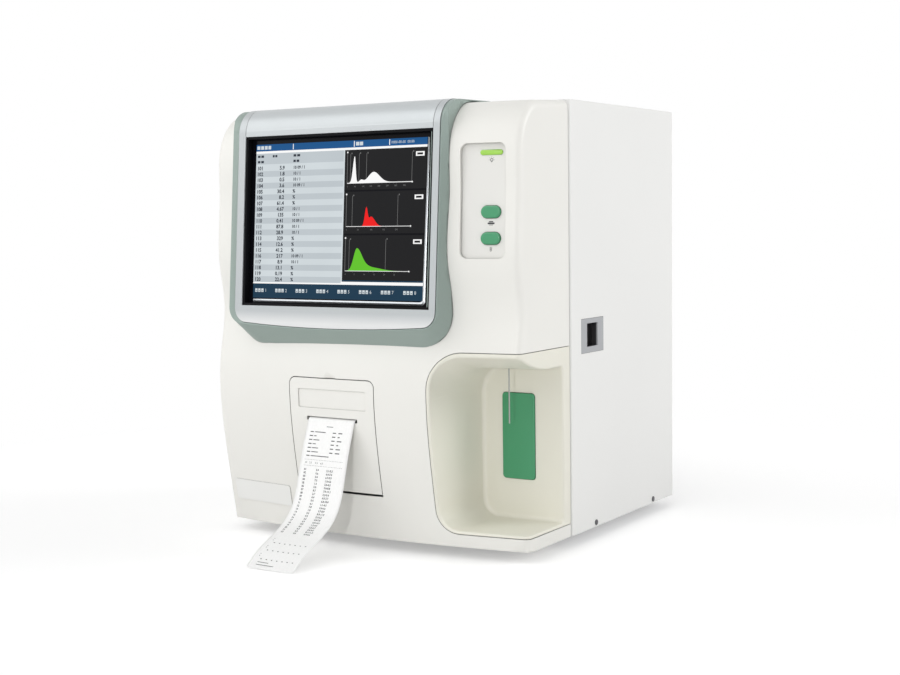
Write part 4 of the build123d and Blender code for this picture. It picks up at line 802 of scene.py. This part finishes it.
class COUNTER_OT_printed_strip(Operator):
    """Hang the printed strip out of the printer, with its rows of plain figures"""

    bl_idname = "counter.printed_strip"
    bl_label = "Printed Strip"

    def execute(self, context):
        sizes = context.scene.counter_sizes
        shape = StripShape(sizes.strip_curl / MM)
        rows, columns = 120, 17
        u = np.linspace(-STRIP_WIDTH / 2, STRIP_WIDTH / 2, columns)
        across, along = np.meshgrid(u, np.linspace(0, shape.total, rows))
        points = shape.place(across.ravel(), along.ravel(), 0.0)
        paper = [thermal_paper("strip_paper")]
        faces = grid_faces(rows, columns)[:, ::-1]
        strip = new_piece("printed_strip", points, faces, paper, smooth=True)
        thick = strip.modifiers.new("thickness", "SOLIDIFY")
        thick.thickness = STRIP_THICKNESS * MM
        thick.offset = -1
        points, faces, marks = self.printing(shape.total, sizes.print_digit / MM).arrays()
        placed = shape.place(points[:, 0], -points[:, 1], 0.05)
        finish = [printed("strip_ink", (0.035, 0.035, 0.04))]
        ink = new_piece("strip_print", placed, faces, finish, indices=marks)
        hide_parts("paper_strip")
        for piece in (strip, ink):
            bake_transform(piece)
        give("paper_roll", thermal_paper("roll_paper"))
        return {"FINISHED"}

    def printing(self, end, digit):
        """The print, u across and v along with the slot at 0: a heading, plain bars in the place of words,
        two dotted lines, rows of figures and the closing lines."""
        sheet = Sheet()
        sheet.bar(-4, 4, -PRINT_START - 0.3, -PRINT_START + 0.3, 0)
        for i, (left, right) in enumerate(((18, 8), (4, 4), (10, 9), (5, 4), (10, 9), (11, 9), (30, 0))):
            v = -(PRINT_START + 6 + 4.1 * i)
            sheet.bar(-23, -23 + min(left, 4), v - 0.5, v + 0.5, 0)
            sheet.bar(-17.5, -17.5 + left * 0.75, v - 0.4, v + 0.4, 0)
            if right:
                sheet.bar(5, 9, v - 0.5, v + 0.5, 0)
                sheet.bar(12, 12 + right * 0.6, v - 0.5, v + 0.5, 0)
        for v in (-48.6, -54.6):
            for k in range(24):
                sheet.bar(-24 + 2 * k, -22.9 + 2 * k, v - 0.14, v + 0.14, 0)
        sheet.figures(["01   2.3     4.5    6.0"], -23, -51.6, digit, 4, 0)
        numbers, values, ranges = [], [], []
        for i in range(PRINT_ROWS):
            numbers.append(f"{i + 1:02d}")
            values.append(f"{(i * 37 + 59) % 97 / 10:.1f}")
            low = (i * 23 + 11) % 80 / 10 + 1
            ranges.append(f"{low:.1f}-{low + 3.2:.1f}")
        for u, lines in zip(PRINT_COLUMNS, (numbers, values, ranges)):
            sheet.figures(lines, u, -58.6, digit, ROW_STEP, 0, 0.0, "LEFT", BOLD)
        for v in (36 - end, 24 - end, 12 - end):
            for i in range(7):
                sheet.bar(-19 + 6.4 * i, -17.4 + 6.4 * i, v - 0.5, v + 0.4, 0)
            sheet.bar(-22.6, -21.8, v + 3.2, v + 4, 0)
            sheet.bar(-22.6, -21.8, v + 6, v + 6.8, 0)
        sheet.bar(-20, -7, 7.6 - end, 8.2 - end, 0)
        sheet.bar(-20, 1, 4.4 - end, 5 - end, 0)
        return sheet


# Finishes of the CAD parts

# Heights between which the face's paint goes over to its paler foot, a painted highlight, in millimetres
PAINTED_HIGHLIGHT_BAND = (232, 243)


class COUNTER_OT_cover_finish(Operator):
    """Finish the moulded front: cover, sample bay, printer door, badge plate and start plate"""

    bl_idname = "counter.cover_finish"
    bl_label = "Cover Finish"

    def execute(self, context):
        colours = context.scene.counter_colours
        cover = moulded("cover_white", colours.cover, roughness=0.4, grain=0.3, edge=0.7)
        rounded("front_cover", cover, 28)
        rounded("printer_door", cover, 14)
        bay = moulded("bay_white", colours.bay, roughness=0.42, grain=0.3, edge=0.7)
        rounded("alcove_insert", bay, 28)
        badge = moulded("badge_satin", linear((234, 234, 231)), roughness=0.34, grain=0.1, coat=0.1, edge=0.3)
        rounded("badge_plate", badge, 30)
        green = moulded("start_green", colours.keys, roughness=0.3, grain=0.1, coat=0.25)
        rounded("start_plate", green, 40)
        return {"FINISHED"}


class COUNTER_OT_bezel_finish(Operator):
    """Finish the screen surround: silver face and strip over a grey-green skirt"""

    bl_idname = "counter.bezel_finish"
    bl_label = "Bezel Finish"

    def execute(self, context):
        colours = context.scene.counter_colours
        # the paler foot colour is a painted highlight along the face's lower edge
        silver, foot = np.asarray(colours.silver), linear((216, 217, 217))
        # The face is painted a little darker than the strip, 0.76 against 0.82 of one silver: painted shade
        # and painted light for how each catches the light.
        face = satin_paint("silver_face", silver * 0.76, 0.3, 0.36, low=foot, band=PAINTED_HIGHLIGHT_BAND)
        rounded("bezel_face", face, 35, window_shift)
        strip = satin_paint("silver_strip", silver * 0.82, 0.3, 0.36)
        rounded("bezel_top_strip", strip, 35, window_shift)
        shade = satin_paint("shade_paint", colours.shade, 0.1, 0.4)
        shade.node_tree.nodes["Principled BSDF"].inputs["Specular IOR Level"].default_value = 0.3
        rounded("bezel_skirt", shade, 28)
        return {"FINISHED"}


class COUNTER_OT_enclosure_finish(Operator):
    """Finish the enclosure, its door and what is fixed to its rear"""

    bl_idname = "counter.enclosure_finish"
    bl_label = "Enclosure Finish"

    def execute(self, context):
        colours = context.scene.counter_colours
        coat = powder_coat("powder_white", colours.sheet)
        for node in ("left_panel", "service_door"):
            rounded(node, coat, 30)
        for node in ("top_cover", "rear_panel"):
            give(node, coat)
        give("door_pull", self.pull_finish())
        give("fan_guard", brushed("guard_wire", (0.72, 0.73, 0.75), roughness=0.22))
        screws = brushed("blued_screws", (0.16, 0.16, 0.17), roughness=0.3)
        for node in ("panel_screws", "door_screws"):
            give(node, screws)
        steel = brushed("pan_steel", (0.60, 0.61, 0.62), roughness=0.36, stretch=(40, 1, 1))
        for node in ("chassis_base", "front_frame", "door_pivots"):
            give(node, steel)
        black = moulded("socket_black", (0.012, 0.012, 0.013), roughness=0.42, grain=0.3)
        for node in ("power_entry", "power_rocker", "fan_housing", "fan_rotor", "start_switch", "lift_motor"):
            give(node, black)
        give("data_ports", brushed("socket_shells", (0.66, 0.67, 0.68), roughness=0.3))
        give("reagent_ports", moulded("port_white", (0.74, 0.74, 0.72), roughness=0.35, grain=0.1))
        rubber = rubbery("foot_rubber", (0.012, 0.012, 0.012))
        for node in ("foot_front_left", "foot_front_right", "foot_rear_left", "foot_rear_right"):
            rounded(node, rubber, 40)
        return {"FINISHED"}

    def pull_finish(self):
        """Grey plastic on the frame of the door's pull, nearly black at the bottom of its recess."""
        grey, hollow = linear((165, 167, 170)), linear((62, 62, 64))
        material = moulded("pull_grey", grey, roughness=0.4, grain=0.2)
        tree = material.node_tree
        place = tree.nodes.new("ShaderNodeTexCoord")
        split = tree.nodes.new("ShaderNodeSeparateXYZ")
        tree.links.new(place.outputs["Object"], split.inputs["Vector"])
        depth = spread(tree, split.outputs["X"], 0, 1, centre=0.1835, width=0.0002)
        surface = tree.nodes["Principled BSDF"]
        tree.links.new(between(tree, depth, hollow, grey), surface.inputs["Base Color"])
        return material


class COUNTER_OT_inside_finish(Operator):
    """Finish the printer, the sampling unit, the fluid parts and the electronics"""

    bl_idname = "counter.inside_finish"
    bl_label = "Inside Finish"

    def execute(self, context):
        give("printer_frame", moulded("printer_grey", (0.05, 0.052, 0.056), roughness=0.5, grain=0.3))
        give("print_head", brushed("head_alloy", (0.62, 0.63, 0.65), roughness=0.3))
        rounded("platen_roller", rubbery("platen_rubber", (0.02, 0.02, 0.021)), 40)
        steel = brushed("bracket_steel", (0.58, 0.59, 0.60), roughness=0.35)
        for node in ("sampler_bracket", "fluidics_plate", "power_supply"):
            give(node, steel)
        along = (1, 1, 60)
        bright = brushed("ground_steel", (0.70, 0.71, 0.73), roughness=0.16, stretch=along)
        for node in ("guide_rods", "lead_screw", "syringe_plungers"):
            rounded(node, bright, 40)
        needle = brushed("probe_steel", (0.36, 0.37, 0.36), roughness=0.3, stretch=along, metallic=0.8)
        rounded("sample_probe", needle, 40)
        alloy = brushed("milled_alloy", (0.66, 0.67, 0.69), roughness=0.32, stretch=(40, 1, 1))
        for node in ("probe_carriage", "syringe_unit", "lcd_module"):
            give(node, alloy)
        glass = clear("bath_clear", (0.80, 0.88, 0.90))
        for node in ("counting_baths", "syringe_barrels", "wash_block"):
            rounded(node, glass, 40)
        give("valve_bank", moulded("valve_body", (0.60, 0.60, 0.58), roughness=0.4, grain=0.2))
        rounded("waste_chamber", moulded("tank_white", (0.70, 0.71, 0.69), roughness=0.45, grain=0.2), 40)
        rounded("tubing", moulded("line_clear", (0.62, 0.66, 0.66), roughness=0.25, grain=0.05), 40)
        give("main_board", circuit_board("main_board_mask"))
        return {"FINISHED"}


# Stage

CAMERA_PLACE = (0.8635, -1.33682, 0.3386)
CAMERA_TURN = (0.55814, 0.08276, -0.01397)
CAMERA_LENS = 59.03

# Each sun's name, azimuth and height in degrees, strength, and width in degrees
SUNS = (
    ("left", -54, 30, 0.75, 50),
    ("right", 124, 22, 1.2, 30),
    ("front", 4, 40, 0.6, 60),
    ("needle", 19, 7, 0.55, 2.5),
    ("top", -20, 70, 0.2, 50),
)
SUN_DISTANCE = 3
FLOOR_RADIUS = 6
FLOOR_SIDES = 96
FLOOR_LIFT = 0.32
WORLD_LEVEL = 0.38


class COUNTER_OT_studio(Operator):
    """Set up the pale floor, the soft lights and the camera"""

    bl_idname = "counter.studio"
    bl_label = "Studio"

    def execute(self, context):
        scene = context.scene
        scene.view_settings.view_transform = "Standard"
        self.camera(scene)
        self.floor(scene)
        self.world(scene)
        for sun in SUNS:
            self.sun(scene, *sun)
        return {"FINISHED"}

    def camera(self, scene):
        """The camera, turned by yaw, pitch and roll: back is the direction from the object to it."""
        yaw, pitch, roll = CAMERA_TURN
        back = Vector((math.sin(yaw) * math.cos(pitch), -math.cos(yaw) * math.cos(pitch), math.sin(pitch)))
        level = Vector((math.cos(yaw), math.sin(yaw), 0))
        upright = back.cross(level)
        right = level * math.cos(roll) + upright * math.sin(roll)
        up = upright * math.cos(roll) - level * math.sin(roll)
        data = bpy.data.cameras.new("camera")
        data.sensor_fit = "HORIZONTAL"
        data.sensor_width = 36
        data.lens = CAMERA_LENS
        data.clip_start = 0.01
        camera = bpy.data.objects.new("camera", data)
        turn = Matrix((right, up, back)).transposed().to_4x4()
        camera.matrix_world = Matrix.Translation(CAMERA_PLACE) @ turn
        scene.collection.objects.link(camera)
        scene.camera = camera

    def sun(self, scene, name, azimuth, height, strength, softness):
        """A wide, soft sun that shines from an azimuth and a height."""
        lamp = bpy.data.lights.new(name, "SUN")
        lamp.energy = strength
        lamp.angle = math.radians(softness)
        holder = bpy.data.objects.new(name, lamp)
        a, h = math.radians(azimuth), math.radians(height)
        source = Vector((math.sin(a) * math.cos(h), -math.cos(a) * math.cos(h), math.sin(h)))
        holder.rotation_euler = source.to_track_quat("Z", "Y").to_euler()
        holder.location = source * SUN_DISTANCE
        scene.collection.objects.link(holder)

    def floor(self, scene):
        """A round pale floor that fades to plain white away from the object."""
        turn = np.linspace(0, 2 * np.pi, FLOOR_SIDES, endpoint=False)
        rim = np.stack([np.cos(turn), np.sin(turn), np.zeros(FLOOR_SIDES)], 1) * FLOOR_RADIUS
        mesh = bpy.data.meshes.new("floor")
        mesh.from_pydata(rim.tolist(), [], [list(range(FLOOR_SIDES))])
        floor = bpy.data.objects.new("floor", mesh)
        scene.collection.objects.link(floor)
        material, tree, surface = shader("floor_white")
        surface.inputs["Base Color"].default_value = (0.85, 0.85, 0.85, 1)
        surface.inputs["Roughness"].default_value = 0.7
        surface.inputs["Specular IOR Level"].default_value = 0.1
        path = tree.nodes.new("ShaderNodeLightPath")
        lift = spread(tree, path.outputs["Is Camera Ray"], 0.0, FLOOR_LIFT, centre=0.5, width=0.5)
        surface.inputs["Emission Color"].default_value = (1, 1, 1, 1)
        tree.links.new(lift, surface.inputs["Emission Strength"])
        place = tree.nodes.new("ShaderNodeTexCoord")
        reach = tree.nodes.new("ShaderNodeVectorMath")
        reach.operation = "LENGTH"
        tree.links.new(place.outputs["Object"], reach.inputs[0])
        fade = spread(tree, reach.outputs["Value"], 0.0, 1.0, centre=0.6, width=0.3)
        glow = tree.nodes.new("ShaderNodeEmission")
        blend = tree.nodes.new("ShaderNodeMixShader")
        tree.links.new(fade, blend.inputs["Fac"])
        tree.links.new(surface.outputs["BSDF"], blend.inputs[1])
        tree.links.new(glow.outputs["Emission"], blend.inputs[2])
        tree.links.new(blend.outputs["Shader"], tree.nodes["Material Output"].inputs["Surface"])
        mesh.materials.append(material)

    def world(self, scene):
        """Even light all round, seen as plain white by the camera, in gloss and through clear parts."""
        world = bpy.data.worlds.new("studio")
        scene.world = world
        world.use_nodes = True
        tree = world.node_tree
        path = tree.nodes.new("ShaderNodeLightPath")
        seen = path.outputs["Is Camera Ray"]
        for ray in ("Is Glossy Ray", "Is Transmission Ray"):
            either = tree.nodes.new("ShaderNodeMath")
            either.operation = "MAXIMUM"
            tree.links.new(seen, either.inputs[0])
            tree.links.new(path.outputs[ray], either.inputs[1])
            seen = either.outputs["Value"]
        level = spread(tree, seen, WORLD_LEVEL, 1.0, centre=0.5, width=0.5)
        ground = tree.nodes["Background"]
        ground.inputs["Color"].default_value = (1, 1, 1, 1)
        tree.links.new(level, ground.inputs["Strength"])


class COUNTER_PT_looks(Panel):
    """The counter's settings and steps."""

    bl_idname = "COUNTER_PT_looks"
    bl_label = "Counter"
    bl_space_type = "VIEW_3D"
    bl_region_type = "UI"
    bl_category = "Counter"

    def draw(self, context):
        for group in (context.scene.counter_colours, context.scene.counter_sizes):
            box = self.layout.box()
            for name in group.__annotations__:
                box.prop(group, name)
        for step in STEPS:
            self.layout.operator(step.bl_idname)


STEPS = (
    COUNTER_OT_cover_finish,
    COUNTER_OT_bezel_finish,
    COUNTER_OT_screen_picture,
    COUNTER_OT_keypad_marks,
    COUNTER_OT_printed_strip,
    COUNTER_OT_enclosure_finish,
    COUNTER_OT_inside_finish,
    COUNTER_OT_studio,
)
CLASSES = (CounterColours, CounterSizes, *STEPS, COUNTER_PT_looks)


def register():
    """Registers the classes and the settings."""
    for item in CLASSES:
        bpy.utils.register_class(item)
    bpy.types.Scene.counter_colours = PointerProperty(type=CounterColours)
    bpy.types.Scene.counter_sizes = PointerProperty(type=CounterSizes)


def unregister():
    """Removes them again."""
    del bpy.types.Scene.counter_sizes
    del bpy.types.Scene.counter_colours
    for item in reversed(CLASSES):
        bpy.utils.unregister_class(item)


def main():
    """Builds the looks step by step."""
    register()
    for step in STEPS:
        group, name = step.bl_idname.split(".")
        getattr(getattr(bpy.ops, group), name)()
    bpy.context.view_layer.update()


if __name__ == "__main__":
    main()
